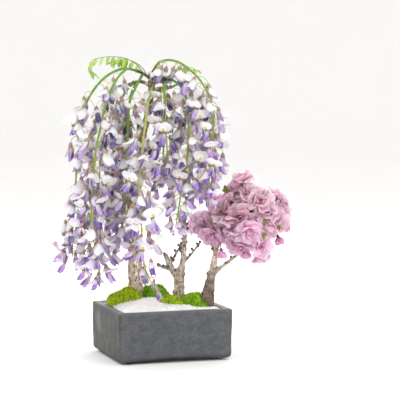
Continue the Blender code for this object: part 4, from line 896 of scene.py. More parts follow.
# Each bud: name, place, the way it hangs.
BLOSSOM_BUDS = [
    ("blossom_bud_left", (78, -14, 139), (0.1, -0.3, -1.0)),
    ("blossom_bud_right", (152, 4, 155), (0.3, -0.2, -1.0)),
    ("blossom_bud_low", (110, -3, 138), (0.1, -0.3, -1.0)),
]

# Each leaf: name, its midrib from the wood to its tip, pairs of leaflets, leaflet length, how far they droop.
LEAVES = [
    ("leaf_far_left", [(-21, 1, 365), (-31, 1, 378), (-46, -4, 386), (-62, -4, 388), (-79, -5, 386),
     (-91, -6, 378)], 6, 12.0, 1.0),
    ("leaf_left", [(-17, 6, 362), (-25, 9, 375), (-38, 8, 383), (-51, 9, 385), (-63, 9, 382)], 4, 11.5, 1.1),
    ("leaf_right", [(4, 29, 347), (13, 22, 362), (24, 15, 372), (36, 10, 375), (46, 9, 371)], 3, 9.5, 0.6),
    ("leaf_back", [(10, 36, 348), (16, 42, 362), (20, 50, 373), (26, 58, 377), (34, 64, 374)], 3, 10.5, 0.9),
]
CHERRY_LEAVES = [
    ("cherry_leaf_top", (101, 24, 185), (-0.5, 0.3, 0.8), 14.0),
    ("cherry_leaf_right", (133, 22, 169), (0.3, 0.7, 0.6), 13.0),
    ("cherry_leaf_left", (62, 22, 148), (0.1, -0.3, 0.9), 13.0),
]
# Leaves that show between the blooms: name, where its blade begins, the way it points, length.
MORE_LEAVES = [
    ("cherry_leaf_more_1", (134, -20, 180), (0.1, -0.4, -0.9), 8.0),
    ("cherry_leaf_more_2", (133, -19, 162), (0.0, -0.3, -1.0), 8.5),
    ("cherry_leaf_more_3", (84, -6, 213), (-0.1, -0.2, 1.0), 12.0),
    ("cherry_leaf_more_4", (151, -14, 170), (0.5, -0.3, -0.8), 6.5),
    ("cherry_leaf_more_5", (103, -16, 203), (-0.2, -0.5, -0.8), 6.0),
    ("cherry_leaf_more_6", (65, -14, 177), (0.3, -0.4, -0.8), 6.0),
]


def occupied():
    """The space that the wood, the blossom and the leaves take."""
    crowd = Crowd()
    for owner, limbs in (
        ("wisteria", [WISTERIA_TRUNK, *WISTERIA_BRANCHES]),
        ("cherry_left", CHERRY_LEFT),
        ("cherry_right", CHERRY_RIGHT),
    ):
        for points in limbs:
            rows = smooth_path(points, 8.0)
            crowd.take_line([world(*row[:3]) for row in rows], [row[3] * 1.15 for row in rows], owner)
    for name, heart, facing, radius in BLOOMS:
        middle = world(*heart) + world(*facing).normalized() * 4
        crowd.take(middle, middle + Vector((0, 0, 0.1)), radius * 0.95, name)
    for name, heart, facing in BLOSSOM_BUDS:
        middle = world(*heart)
        crowd.take(middle, middle + world(*facing).normalized() * 8, 4.6, name)
    for name, midrib, _, length, _ in LEAVES:
        rows = smooth_path(midrib, 6.0)
        for row in rows[len(rows) // 3 :]:
            crowd.take(world(*row), world(*row) - Vector((0, 0, length * 0.8)), length * 0.6, name)
    return crowd


def plan_florets(crowd):
    draw = random.Random(FLORET_SEED)
    for raceme in RACEMES:
        crowd.take_line(raceme.centres, raceme.radii(), raceme.name)
    for number in range(max(raceme.count for raceme in RACEMES)):
        for raceme in RACEMES:
            if number >= raceme.count:
                continue
            share = (number + 0.5) / raceme.count
            place = raceme.at(raceme.bare + (0.995 - raceme.bare) * share)
            size = raceme.size_at(share) * draw.uniform(0.92, 1.08)
            opening = draw.uniform(0.75, 1.0) if draw.random() < raceme.opened else draw.uniform(0.0, 0.3)
            reach = draw.uniform(0.85, 1.15)
            drop = draw.uniform(0.8, 1.3)
            turn = raceme.turn + number * GOLDEN_TURN + draw.uniform(-0.2, 0.2)
            for extra in TRY_TURNS:
                floret = Floret(place, turn + extra, reach, drop, size, opening, share)
                if floret.fits(crowd, raceme.name):
                    raceme.hang(floret, crowd)
                    break


def beyond_reach(point, radius):
    """How far a ball round a point stands out beyond the flowers' reach, as seen from the front."""
    across = point.x * math.cos(FACING) - point.y * math.sin(FACING)
    left, right = np.interp(point.z, *zip(*REACH_LEFT)), np.interp(point.z, *zip(*REACH_RIGHT))
    return max(left - (across - radius), across + radius - right)


def add_florets(crowd):
    """More florets between the planned ones, which may press on their neighbours."""
    draw = random.Random(EXTRA_SEED)
    for raceme in RACEMES:
        usual = BACK_EXTRA if "back" in raceme.name else EXTRA
        wanted = round(raceme.count * FEWER_OR_MORE.get(raceme.name, usual))
        for number in range(wanted + TOP_FLORETS):
            share = ((number + draw.uniform(0.2, 0.8)) / wanted) ** LOW_LEAN
            share = share if number < wanted else draw.uniform(0.0, 0.16)
            share = share * 0.7 if raceme.sparse else share
            place = raceme.at(raceme.bare * 0.9 + (0.99 - raceme.bare * 0.9) * share)
            size = raceme.size_at(share) * draw.uniform(0.80, 1.0)
            is_open = draw.random() < raceme.opened * 0.8
            opening = draw.uniform(0.7, 1.0) if is_open else draw.uniform(0.0, 0.35)
            turn = raceme.turn + 1.0 + number * GOLDEN_TURN + draw.uniform(-0.4, 0.4)
            for attempt in range(ADDED_TURNS):
                reach, drop = draw.uniform(0.6, 1.5), draw.uniform(0.3, 2.2)
                floret = Floret(place, turn + attempt * ADDED_TURN, reach, drop, size, opening, share)
                inside = beyond_reach(floret.end, FLORET_HALF) < 0
                if inside and floret.fits(crowd, raceme.name, EASED, OWN_EASED):
                    raceme.hang(floret, crowd)
                    break


# ---------------------------------------------------------------- a wisteria floret
def crumple(draw, rows, columns, size, flare=2.0, ripple=0.8):
    """How far each point of a sheet stands off its smooth shape: one corner lifts, and the edge ripples."""
    u, v = np.meshgrid(np.linspace(-1, 1, columns), np.linspace(0, 1, rows))
    lift = draw.uniform(-flare, flare) * v**2 * u + draw.uniform(-flare, flare) * 0.4 * v**2 * u * u
    lift += draw.uniform(0.3, 1.0) * ripple * v * np.sin(draw.uniform(4.5, 8.0) * u + draw.uniform(0, 6.28))
    lift += draw.uniform(0.0, 0.6) * ripple * v * np.sin(draw.uniform(5, 9) * v + draw.uniform(0, 6.28))
    return lift * size


def lying(line, widths, bend, side, wave, columns=9, lift=None):
    """A sheet along a line of points: widths is half its width there, bend how far it curls round
    the line, as an angle at its edges, towards the normal of side."""
    rows = len(line)
    ahead = np.gradient(line, axis=0)
    ahead /= np.linalg.norm(ahead, axis=1, keepdims=True)
    normal = np.cross(side, ahead)
    normal /= np.linalg.norm(normal, axis=1, keepdims=True)
    u = np.linspace(-1, 1, columns)
    grid = np.zeros((rows, columns, 3))
    for i in range(rows):
        angle = max(abs(bend[i]), 1e-3)
        radius = widths[i] / angle
        out = radius * np.sin(u * angle)
        off = radius * (1 - np.cos(u * angle)) * np.sign(bend[i]) + wave[i] * widths[i] * np.sin(3.1 * u + i)
        off = off if lift is None else off + lift[i]
        grid[i] = line[i] + np.outer(out, side) + np.outer(off, normal[i])
    return grid


X = np.array((1.0, 0.0, 0.0))
PETAL_THICK = 0.35
BANNER_ROWS = np.array((0.0, 0.10, 0.22, 0.36, 0.52, 0.68, 0.82, 0.93, 1.0))
HOOD_WIDE = np.array((0.18, 0.36, 0.64, 0.88, 0.97, 0.93, 0.80, 0.58, 0.24))
FACE_WIDE = np.array((0.14, 0.30, 0.62, 0.94, 1.08, 1.02, 0.82, 0.56, 0.24))
WING_ROWS = np.linspace(0, 1, 6)
WING_WIDE = np.array((0.25, 0.62, 0.94, 1.0, 0.82, 0.28))
CALYX_RUN = (-0.4, 0.6, 2.0, 3.7, 4.5, 2.4)
CALYX_WIDE = (0.5, 1.2, 1.9, 2.3, 2.2, 0.9)


def add_pedicel(greens, floret, matrix, axis, draw):
    """The thread from the stalk, arching out and over into the calyx."""
    start, end = np.array(floret.place), np.array(floret.end)
    out = np.array(floret.matrix.to_3x3() @ Vector((0, 1, 0)))
    way = np.array(matrix.to_3x3() @ Vector(axis))
    rise = start + out * 5 + np.array((0, 0, draw.uniform(0.0, 2.0)))
    line = smooth_path([start, rise, end - way * 2.6 + (0, 0, 0.5), end + way * 0.5], 3.0)
    shade = blend(rgb(158, 170, 78), rgb(214, 196, 140), draw.random()) * draw.uniform(0.85, 1.05)
    greens.add(*tube(line, np.linspace(0.52, 0.38, len(line)), 4), shade)


def add_calyx(bulk, matrix, axis, up, size, tone):
    """A lopsided cup with four soft teeth."""
    sides = 8
    points = []
    for k, (run, radius) in enumerate(zip(CALYX_RUN, CALYX_WIDE)):
        for j in range(sides):
            angle = 2 * math.pi * j / sides
            tooth = 0.8 * math.cos(4 * angle) if k in (3, 4) else 0.0
            ring = X * math.cos(angle) + up * math.sin(angle)
            points.append((axis * (run + tooth - 0.25 * math.sin(angle)) + ring * radius) * size)
    rows, first = len(CALYX_RUN), len(CALYX_RUN) * sides
    index = closed(np.arange(first).reshape(rows, sides))
    points = moved(np.array([*points, axis * -0.6 * size, axis * 1.6 * size]), matrix)
    bulk.add(points, grid_quads(index), caps(index, first, first + 1), None, tone, slot=2)


def add_banner(bulk, matrix, axis, up, pitch, size, face, lifted, look, draw):
    """The big upper petal: a face turned to the viewer's side of the raceme, or a hood over the keel."""
    banner, throat, wing, _, calyx = look
    if face:
        long = BANNER_LENGTH * size * draw.uniform(0.78, 0.94)
        half = BANNER_HALF * size * draw.uniform(0.76, 0.92)
        turn = pitch + (lifted - pitch) * smoothstep(0.02, 0.34, BANNER_ROWS)
        turn = turn + 0.5 * smoothstep(0.6, 1.0, BANNER_ROWS)
        bend = -0.45 * (1 - smoothstep(0, 0.35, BANNER_ROWS))
        bend = bend + draw.uniform(0.1, 0.9) * smoothstep(0.2, 0.8, BANNER_ROWS)
        shape = FACE_WIDE
    else:
        long = BANNER_LENGTH * size * draw.uniform(0.84, 1.06)
        half = BANNER_HALF * size * draw.uniform(0.60, 0.82)
        turn = pitch + 0.16 + (lifted - pitch) * smoothstep(0.15, 1.0, BANNER_ROWS)
        bend = np.full(9, -draw.uniform(0.9, 1.7))
        bend = bend + draw.uniform(0.3, 1.6) * smoothstep(0.35, 1.0, BANNER_ROWS)
        shape = HOOD_WIDE
    steps = np.diff(BANNER_ROWS, prepend=0.0)[:, None] * long
    way = np.stack([np.zeros(9), np.cos(turn), np.sin(turn)], 1)
    line = axis * 2.6 * size + up * 1.1 * size + np.cumsum(steps * way, axis=0)
    outline = shape * (1 + draw.uniform(-0.08, 0.08) * np.sin(7 * BANNER_ROWS + draw.uniform(0, 6)))
    grid = lying(line, half * outline, bend, X, np.zeros(9), 9, crumple(draw, 9, 9, size, 4.2, 1.2))
    notch = np.exp(-(np.linspace(-1, 1, 9) / 0.4) ** 2)[:, None]
    grid[-1] -= (grid[-1] - grid[-2]) * draw.uniform(0.3, 0.9) * notch
    points, quads, marks = blade(grid, PETAL_THICK)
    marks = marks * np.array((1, 1, -1))
    base = (1 - smoothstep(0.0, 0.5, marks[:, 1]))[:, None]
    outer = (marks[:, 2:] < 0) * 1.0
    tone = blend(banner, blend(throat, blend(calyx, banner, 0.3), outer), base * (0.35 + 0.45 * outer))
    edge = smoothstep(0.72, 1.0, np.abs(marks[:, 0]))[:, None] * draw.uniform(0.0, 0.45)
    flush = smoothstep(0.3, 1.0, marks[:, 1])[:, None] * draw.uniform(0.0, 0.4)
    bulk.add(moved(points, matrix), quads, (), marks, blend(tone, wing, np.maximum(edge, flush)), slot=0)


def add_wings(bulk, matrix, axis, up, size, face, look, draw):
    """Two wings on the keel's sides, and the keel as a small boat between them."""
    _, throat, wing, keel, _ = look
    spread = draw.uniform(0.3, 0.8) if face else draw.uniform(0.1, 0.5)
    long = draw.uniform(0.92, 1.06) * size
    for side in (-1, 1):
        reach = 15.6 * long * draw.uniform(0.92, 1.04)
        droop = -up * smoothstep(0, 1, WING_ROWS)[:, None] * draw.uniform(-0.6, 2.2) * size
        line = axis * 2.8 * size + np.outer(WING_ROWS * reach, axis) - up * 0.9 * size + droop
        aside = side * size * (0.8 + 1.7 * np.sin(math.pi * 0.62 * WING_ROWS) * (0.6 + spread))
        line = line + X * aside[:, None]
        flat = up * math.cos(spread) - X * side * math.sin(spread)
        curl = np.full(6, 0.6 * side)
        fold = crumple(draw, 6, 7, size, 0.7, 0.3)
        grid = lying(line, 3.2 * size * WING_WIDE, curl, flat, np.zeros(6), 7, fold)
        points, quads, marks = blade(grid, PETAL_THICK)
        deep = smoothstep(0.12, 0.65, marks[:, 1])[:, None]
        tone = blend(blend(throat, wing, 0.35), blend(wing, keel, draw.uniform(0.15, 1.0)), deep)
        bulk.add(moved(points, matrix), quads, (), marks, tone, slot=1)
    rows = np.linspace(0, 1, 7)
    line = axis * 2.6 * size + np.outer(rows * 15.2 * long, axis)
    line = line - up * size * (1.7 * np.sin(math.pi * rows * 0.9) + 0.4)[:, None]
    points, quads, tris, marks = tube(line, size * np.array((0.6, 1.3, 1.9, 2.3, 2.2, 1.5, 0.3)), 8)
    centre = np.repeat(line, 8, axis=0)
    points[:-2] = centre + (points[:-2] - centre) * np.array((0.7, 1.0, 1.0))
    marks = np.stack([marks[:, 0] * 2 - 1, marks[:, 1] / marks[-1, 1], marks[:, 2]], 1)
    tone = blend(blend(throat, wing, 0.4), keel, smoothstep(0.2, 0.6, marks[:, 1])[:, None])
    bulk.add(moved(points, matrix), quads, tris, marks, tone, slot=1)


def floret_parts(bulk, greens, floret, look, draw):
    """look is (banner, banner's throat, wing, keel, calyx) in linear colour."""
    face = floret.opening > OPEN_FROM and draw.random() < (SHOWS_ITS_FACE if floret.share > 0.3 else 0.2)
    size = floret.size * draw.uniform(1.24, 1.46)
    pitch = math.radians(-82 + (40 if face else 22) * floret.opening)
    if face:
        lifted = math.radians(draw.uniform(8, 66))
    elif floret.opening > OPEN_FROM:
        lifted = pitch + math.radians(draw.uniform(22, 62))
    else:
        lifted = pitch + math.radians(draw.uniform(4, 34))
    axis = np.array((0, math.cos(pitch), math.sin(pitch)))
    up = np.cross(X, axis)
    swing = Matrix.Rotation(draw.gauss(0, 0.55), 4, "Z")
    tilt = Matrix.Rotation(max(-0.4, min(0.4, draw.gauss(0, 0.24))), 4, "Y")
    matrix = floret.matrix @ (swing @ tilt)
    add_pedicel(greens, floret, matrix, axis, draw)
    add_calyx(bulk, matrix, axis, up, size, look[4])
    add_banner(bulk, matrix, axis, up, pitch, size, face, lifted, look, draw)
    add_wings(bulk, matrix, axis, up, size, face, look, draw)


SHOWS_ITS_FACE = 0.7
# Florets by age, each the colours of its banner, banner's throat, wings, keel and calyx.
FRESH = (rgb(240, 233, 240), rgb(250, 244, 230), rgb(204, 182, 228), rgb(128, 92, 184), rgb(180, 148, 140))
PALE = (rgb(244, 241, 238), rgb(248, 244, 224), rgb(220, 208, 230), rgb(142, 116, 190), rgb(184, 160, 142))
YOUNG = (rgb(230, 214, 238), rgb(242, 230, 238), rgb(202, 168, 224), rgb(148, 98, 192), rgb(164, 124, 132))
FADED = (rgb(220, 216, 218), rgb(230, 222, 200), rgb(124, 118, 172), rgb(62, 60, 112), rgb(156, 132, 112))


def pick_look(share, draw):
    """Faded florets near the top of a raceme, fresh ones below, young ones at its tip."""
    roll = draw.random()
    if share > 0.88:
        look = YOUNG if roll < 0.75 else FRESH
    elif share < 0.22:
        look = FADED if roll < 0.5 else PALE
    elif share < 0.5:
        look = FADED if roll < 0.16 else PALE if roll < 0.5 else FRESH
    else:
        look = FADED if roll < 0.05 else PALE if roll < 0.25 else FRESH if roll < 0.85 else YOUNG
    light = draw.uniform(0.90, 1.04)
    return [np.asarray(c) * light * np.array([draw.uniform(0.97, 1.03) for _ in range(3)]) for c in look]


# The stalks' colours at the top and at the tip, where they are darker, and dropped florets' pedicels.
STALK_HIGH, STALK_LOW = rgb(110, 152, 48), rgb(166, 188, 66)
SPARSE_HIGH, SPARSE_LOW = rgb(158, 168, 78), rgb(194, 186, 112)
STALK_DARK, BARE_PEDICEL = rgb(52, 92, 40), rgb(222, 208, 158)
SLIM_FLORETS = ((-0.2, 0.92), (0.7, 0.97), (-2.2, 0.86))  # at the sparse raceme's end: turn, share


def add_stalk(greens, raceme):
    stem = smooth_path([raceme.root, *raceme.centres], 3.0)
    run = np.linspace(0, 1, len(stem))
    radii = np.interp(run, (0, 1), (STALK_RADIUS, STALK_TIP_RADIUS)) * (1 + 0.06 * np.sin(run * 90))
    points, quads, tris, place = tube(stem, radii * (1.05 if raceme.sparse else 1.0), 8)
    high, low = (SPARSE_HIGH, SPARSE_LOW) if raceme.sparse else (STALK_HIGH, STALK_LOW)
    down = np.append(np.repeat(run, 8), (0, 1))
    tone = blend(high, low, smoothstep(0.1, 0.9, down)[:, None])
    tone = blend(tone, STALK_DARK, smoothstep(0.12, 0.0, down)[:, None] * 0.55)
    greens.add(points, quads, tris, place, tone)


def add_bare_pedicels(greens, raceme, draw):
    """Stubs and bare pedicels whose florets have dropped."""
    every, power, longest = (5.5, 0.6, 20) if raceme.sparse else (11, 1.0, 17)
    count = round(raceme.length / every)
    for k in range(count):
        share = raceme.bare * 0.7 + (1 - raceme.bare * 0.7) * ((k + draw.random()) / count) ** power
        spot = raceme.at(min(0.995, share))
        angle = draw.uniform(0, 2 * math.pi)
        out = Vector(outward(angle)) * draw.uniform(7, longest)
        tip = spot + out + Vector((0, 0, draw.uniform(-14, 0) if spot.z > 110 else draw.uniform(-4, 6)))
        line = smooth_path([spot, spot.lerp(tip, 0.5) + UP, tip], 2.5)
        greens.add(*tube(line, np.linspace(0.42, 0.28, len(line)), 4), BARE_PEDICEL)


def build_racemes():
    wood = frame["nodes"]["wisteria_wood"].data
    bark = BVHTree.FromPolygons([v.co / MM for v in wood.vertices], [f.vertices for f in wood.polygons])
    spine, thick = spine_of([WISTERIA_TRUNK, *WISTERIA_BRANCHES])
    for raceme in RACEMES:
        raceme.lay(spine, thick, bark)
    crowd = occupied()
    plan_florets(crowd)
    add_florets(crowd)
    for number, raceme in enumerate(RACEMES):
        for turn, share in SLIM_FLORETS if raceme.sparse else ():
            raceme.florets.append(Floret(raceme.at(share), turn, 0.55, 0.2, 0.62, 0.05, 0.95))
        draw = random.Random(FLOWER_SEED + number)
        flowers, greens = Bulk(), Bulk()
        add_stalk(greens, raceme)
        for floret in raceme.florets:
            look = pick_look(floret.share, draw)
            if raceme.sparse and floret.share > 0.9:
                look = [np.asarray(c) * 0.9 for c in YOUNG]
            floret_parts(flowers, greens, floret, look, draw)
        add_bare_pedicels(greens, raceme, draw)
        name = raceme.name.replace("raceme", "flowers")
        piece(name, flowers.mesh(name, [LILAC_BANNER, LILAC_WING, CALYX]), "wisteria_flower", raceme.name)
        name = raceme.name.replace("raceme", "stalk")
        piece(name, greens.mesh(name, [STALK_GREEN]), "young_leaf", raceme.name)


# ---------------------------------------------------------------- cherry blossom
def bloom_matrix(heart, facing):
    up = world(*facing).normalized()
    across = up.orthogonal().normalized()
    return frame_matrix(world(*heart), across, up.cross(across), up)


PETAL_ROWS = np.array((0.0, 0.14, 0.30, 0.48, 0.66, 0.82, 0.94, 1.0))
PETAL_WIDE = np.array((0.20, 0.38, 0.66, 0.90, 1.0, 0.98, 0.80, 0.50))
# Each whorl: petals, pitch from the flower's plane, length, half width, how far its tips curl in.
WHORLS = (
    (5, 4, 19.0, 11.2, -0.25), (5, 24, 17.2, 10.0, 0.0), (3, 46, 13.0, 8.0, 0.2), (4, 68, 9.0, 5.0, 0.6),
)
BUD_WHORLS = ((5, 30, 13.0, 8.6), (5, 46, 12.0, 7.6), (4, 62, 11.0, 6.4))
HEART_RED, STAMEN = rgb(168, 62, 92), rgb(226, 168, 120)
SEPAL_RED, PEDICEL_GREEN = rgb(120, 44, 50), rgb(122, 104, 62)
BUD_DEEP, BUD_PALE = rgb(222, 84, 152), rgb(248, 156, 206)
# A bloom's pale and deep colour with painted shade, used on the blooms high on the right in the sun, and with
# painted light, used on the blooms in shadow.
PALE_PAINTED_SHADE, PALE_PAINTED_LIGHT = rgb(218, 174, 188), rgb(255, 194, 228)
DEEP_PAINTED_SHADE, DEEP_PAINTED_LIGHT = rgb(204, 112, 148), rgb(255, 120, 190)
TREE_FORK = 112  # the flowers' stalks begin above this height


def cherry_petal(bulk, matrix, turn, pitch, long, half, curl, deep, pale, draw, shut=0.0):
    """One notched petal, crumpled and frilled, deep at its base and pale at its tip."""
    angles = pitch + 0.35 * (1 - smoothstep(0, 0.3, PETAL_ROWS)) + curl * PETAL_ROWS**2
    out = outward(turn)
    side = np.array((-math.sin(turn), math.cos(turn), 0))
    up = np.array(UP)
    way = np.outer(np.cos(angles), out) + np.outer(np.sin(angles), up)
    line = out * 1.7 + up * 0.8 + np.cumsum(np.diff(PETAL_ROWS, prepend=0.0)[:, None] * long * way, axis=0)
    tilt = draw.uniform(-0.45, 0.45) * (1 - 0.8 * shut)
    side = side * math.cos(tilt) + np.cross(out, side) * math.sin(tilt)
    bend = np.full(8, draw.uniform(0.1, 0.75) + shut)
    fold = crumple(draw, 8, 9, half / 9.0, 2.8, 0.55)
    grid = lying(line, half * PETAL_WIDE, -bend, side, 0.05 * PETAL_ROWS * draw.uniform(0.3, 1.5), 9, fold)
    u = np.linspace(-1, 1, 9)
    frill = np.exp(-(((u - draw.uniform(-0.3, 0.3)) / 0.25) ** 2)) * 0.9
    frill = frill + 0.15 * np.sin(9 * u + draw.uniform(0, 6))
    grid[-1] -= (grid[-1] - grid[-2]) * frill[:, None]
    points, quads, marks = blade(grid, PETAL_THICK)
    base = (1 - smoothstep(0.0, 0.6, marks[:, 1]))[:, None]
    tone = blend(pale, deep, base * 0.62)
    tone = blend(tone, HEART_RED, (1 - smoothstep(0.08, 0.34, marks[:, 1]))[:, None] * 0.42)
    edge = smoothstep(0.85, 1.0, marks[:, 1])[:, None] * draw.uniform(0.0, 0.25)
    bulk.add(moved(points, matrix), quads, (), marks, blend(tone, deep, edge), slot=0)


def calyx_and_stalk(greens, matrix, spots, radius):
    """Five pointed sepals behind the flower, a narrow cup, and the pedicel down to the twig."""
    for k in range(5):
        turn = 2 * math.pi * k / 5
        out = outward(turn)
        side = np.array((-math.sin(turn), math.cos(turn), 0))
        t = np.linspace(0, 1, 5)
        line = out * 0.8 + np.outer(t * 6.2 * radius / 16, out) + np.outer(0.3 - 0.9 * t * (1 - t) * 2, UP)
        grid = lying(line, np.array((1.1, 1.6, 1.4, 0.9, 0.12)), np.full(5, 0.3), side, np.zeros(5), 5)
        points, quads, marks = blade(grid, 0.4)
        greens.add(moved(points, matrix), quads, (), marks, SEPAL_RED)
    cup = [(0, 0, z) for z in (1.2, 0.2, -1.0, -2.2, -3.4)]
    greens.add(*moved_tube(cup, (2.3, 2.0, 1.5, 1.25, 0.7), 10, matrix), SEPAL_RED)
    line = smooth_path(spots, 2.5)
    points, quads, tris, place = tube(line, np.full(len(line), 0.62), 6)
    mix = np.clip(place[:, 1] / max(place[-1, 1], 1e-6), 0, 1)[:, None]
    greens.add(points, quads, tris, place, blend(PEDICEL_GREEN, SEPAL_RED, mix * 0.8))


def flower_pieces(petals, greens, matrix, limbs, drop, radius, slot, name, shown_as, nodes):
    """Hangs a flower on the nearest twig, and makes its petals one piece and its calyx and stalk another."""
    back = -(matrix.to_3x3() @ UP)
    base = matrix @ Vector((0, 0, -drop))
    spot = nearest(*limbs, base + back * 4, TREE_FORK)
    bend = base + back * min(6.0, (base - spot).length * 0.4)
    calyx_and_stalk(greens, matrix, [spot, bend, base - back * 0.8], radius)
    piece(shown_as, petals.mesh(name + "_petals", [CHERRY_PETAL]), slot, *nodes)
    calyx = name.replace("blossom", "calyx")
    piece(calyx, greens.mesh(calyx, [CALYX]), "cherry_bud", *nodes)


def add_stamens(greens, matrix, scale, draw):
    for _ in range(9):
        angle, lean = draw.uniform(0, 6.28), draw.uniform(0.05, 0.5)
        tip = np.array((math.cos(angle) * lean, math.sin(angle) * lean, 1.0)) * draw.uniform(4.5, 7.0) * scale
        line = [np.array(UP), tip * 0.6 + (0, 0, 0.5), tip * 0.93, tip, tip * 1.08]
        greens.add(*moved_tube(line, (0.16, 0.14, 0.3, 0.42, 0.1), 4, matrix), STAMEN)


def build_blooms(limbs):
    for number, (name, heart, facing, radius) in enumerate([*BLOOMS, *MORE_BLOOMS]):
        draw = random.Random(BLOOM_SEED + number)
        matrix = bloom_matrix(heart, facing)
        petals, greens = Bulk(), Bulk()
        scale = radius / 16.0
        # painted light and shade: blooms in the wisteria's shadow, low or to the left, get the brighter
        # pinks, and sunlit ones high on the right get the duller ones
        sunny = heart[2] > 172 and heart[0] > 70
        painted_light_share = draw.uniform(0, 0.4) if sunny else draw.uniform(0.75, 1.0)
        cup = 30 if facing[2] < -0.8 else 0
        pale = blend(PALE_PAINTED_SHADE, PALE_PAINTED_LIGHT, painted_light_share) * draw.uniform(0.97, 1.02)
        deep = blend(DEEP_PAINTED_SHADE, DEEP_PAINTED_LIGHT, painted_light_share)
        for layer, (count, pitch, long, half, curl) in enumerate(WHORLS):
            base, tip = blend(pale, deep, 0.22 + 0.08 * layer), blend(pale, deep, 0.03 * layer)
            for k in range(count):
                turn = 2 * math.pi * (k + 0.5 * layer + draw.uniform(-0.26, 0.26)) / count + number
                lean = math.radians(pitch + cup + draw.uniform(-15, 15))
                reach = long * scale * draw.uniform(0.84, 1.06)
                width = half * scale * draw.uniform(0.88, 1.08)
                bow = curl + draw.uniform(-0.5, 0.4)
                cherry_petal(petals, matrix, turn, lean, reach, width, bow, base, tip, draw)
        add_stamens(greens, matrix, scale, draw)
        nodes = [name] if number < len(BLOOMS) else []
        shown_as = name.replace("blossom", "bloom")
        flower_pieces(petals, greens, matrix, limbs, 2.6, radius, "cherry_petal", name, shown_as, nodes)


def build_buds(limbs):
    for number, (name, heart, facing) in enumerate(BLOSSOM_BUDS):
        draw = random.Random(BUD_SEED + number)
        matrix = bloom_matrix(heart, facing)
        petals, greens = Bulk(), Bulk()
        for layer, (count, pitch, long, half) in enumerate(BUD_WHORLS):
            for k in range(count):
                turn = 2 * math.pi * (k + 0.5 * layer) / count + number
                lean = math.radians(pitch + draw.uniform(-6, 6))
                reach = long * draw.uniform(0.9, 1.1)
                cherry_petal(petals, matrix, turn, lean, reach, half, 1.9, BUD_DEEP, BUD_PALE, draw, 0.9)
        shown_as = name.replace("blossom_", "")
        flower_pieces(petals, greens, matrix, limbs, 3.4, 13, "cherry_bud", name, shown_as, [name])


# ---------------------------------------------------------------- leaves
LEAFLET_ROWS = np.array((0.0, 0.12, 0.28, 0.46, 0.64, 0.80, 0.92, 1.0))
LEAFLET_WIDE = np.array((0.10, 0.52, 0.90, 1.0, 0.86, 0.58, 0.28, 0.04))
LEAF_LIGHT, LEAF_DARK, MIDRIB = rgb(186, 204, 84), rgb(128, 166, 52), rgb(112, 142, 60)
BRONZE_LIGHT, BRONZE_DARK, TWIG = rgb(132, 144, 40), rgb(112, 96, 44), rgb(120, 110, 60)
UNDERSIDE = np.array((0.82, 0.9, 0.8))
# The far left leaf's young end hooks over, and it has more leaflets.
HOOKED = "leaf_far_left"
HOOK = ((-76, -5, 387), (-87, -6, 384), (-91, -6, 377), (-90, -6, 371), (-86, -6, 367))


def leaflet(bulk, foot, way, face, long, half, tone, draw, droop=0.5, fold=0.5):
    """One pointed leaflet, folded a little along its midrib and drooping to its tip."""
    way, face = Vector(way).normalized(), Vector(face).normalized()
    side = np.array(way.cross(face).normalized())
    t = LEAFLET_ROWS
    line = np.array(foot) + np.outer(t * long, way) + np.outer(droop * long * t**2 * 0.5, -np.array(UP))
    bend = np.full(8, draw.uniform(0.3, 1.0) * fold + 0.05)
    grid = lying(line, half * LEAFLET_WIDE, bend, side, 0.05 * t * draw.uniform(0, 1), 7)
    points, quads, marks = blade(grid, 0.3)
    bulk.add(points, quads, (), marks, blend(tone, tone * UNDERSIDE, (marks[:, 2:] < 0) * 1.0))


def build_fronds():
    """The wisteria's feathered leaves: pairs of leaflets along a midrib, and one at its end."""
    for number, (name, midrib, pairs, length, droop) in enumerate(LEAVES):
        draw = random.Random(LEAF_SEED + number)
        bulk = Bulk()
        route = [*midrib[:-2], *HOOK] if name == HOOKED else midrib
        line = np.array([world(*row) for row in smooth_path(route, 2.0)])
        bulk.add(*tube(line, np.linspace(0.75, 0.3, len(line)), 6), MIDRIB)
        along = run_along(line)
        many = pairs + (3 if name == HOOKED else 1)
        for pair in range(many):
            share = 0.30 + 0.68 * (pair + 0.5) / many
            i = min(max(int(np.searchsorted(along, share * along[-1])), 1), len(line) - 2)
            ahead = Vector(line[i + 1] - line[i - 1]).normalized()
            for sign in (-1, 1):
                aside = ahead.cross(UP).normalized() * sign
                way = aside * draw.uniform(0.5, 0.9) + ahead * 0.5 - UP * droop * draw.uniform(0.8, 1.6)
                tone = blend(LEAF_LIGHT, LEAF_DARK, draw.random()) * draw.uniform(0.9, 1.05)
                size = length * (1.05 - 0.35 * pair / many) * draw.uniform(0.9, 1.1)
                leaflet(bulk, line[i], way, aside * 0.3 + UP, size, 2.5, tone, draw)
        end = Vector(line[-1] - line[-2]).normalized()
        leaflet(bulk, line[-1], end, end.orthogonal(), length * 0.8, 2.0, LEAF_LIGHT, draw)
        piece(name.replace("leaf", "frond"), bulk.mesh(name + "_fine", [LEAF]), "young_leaf", name)


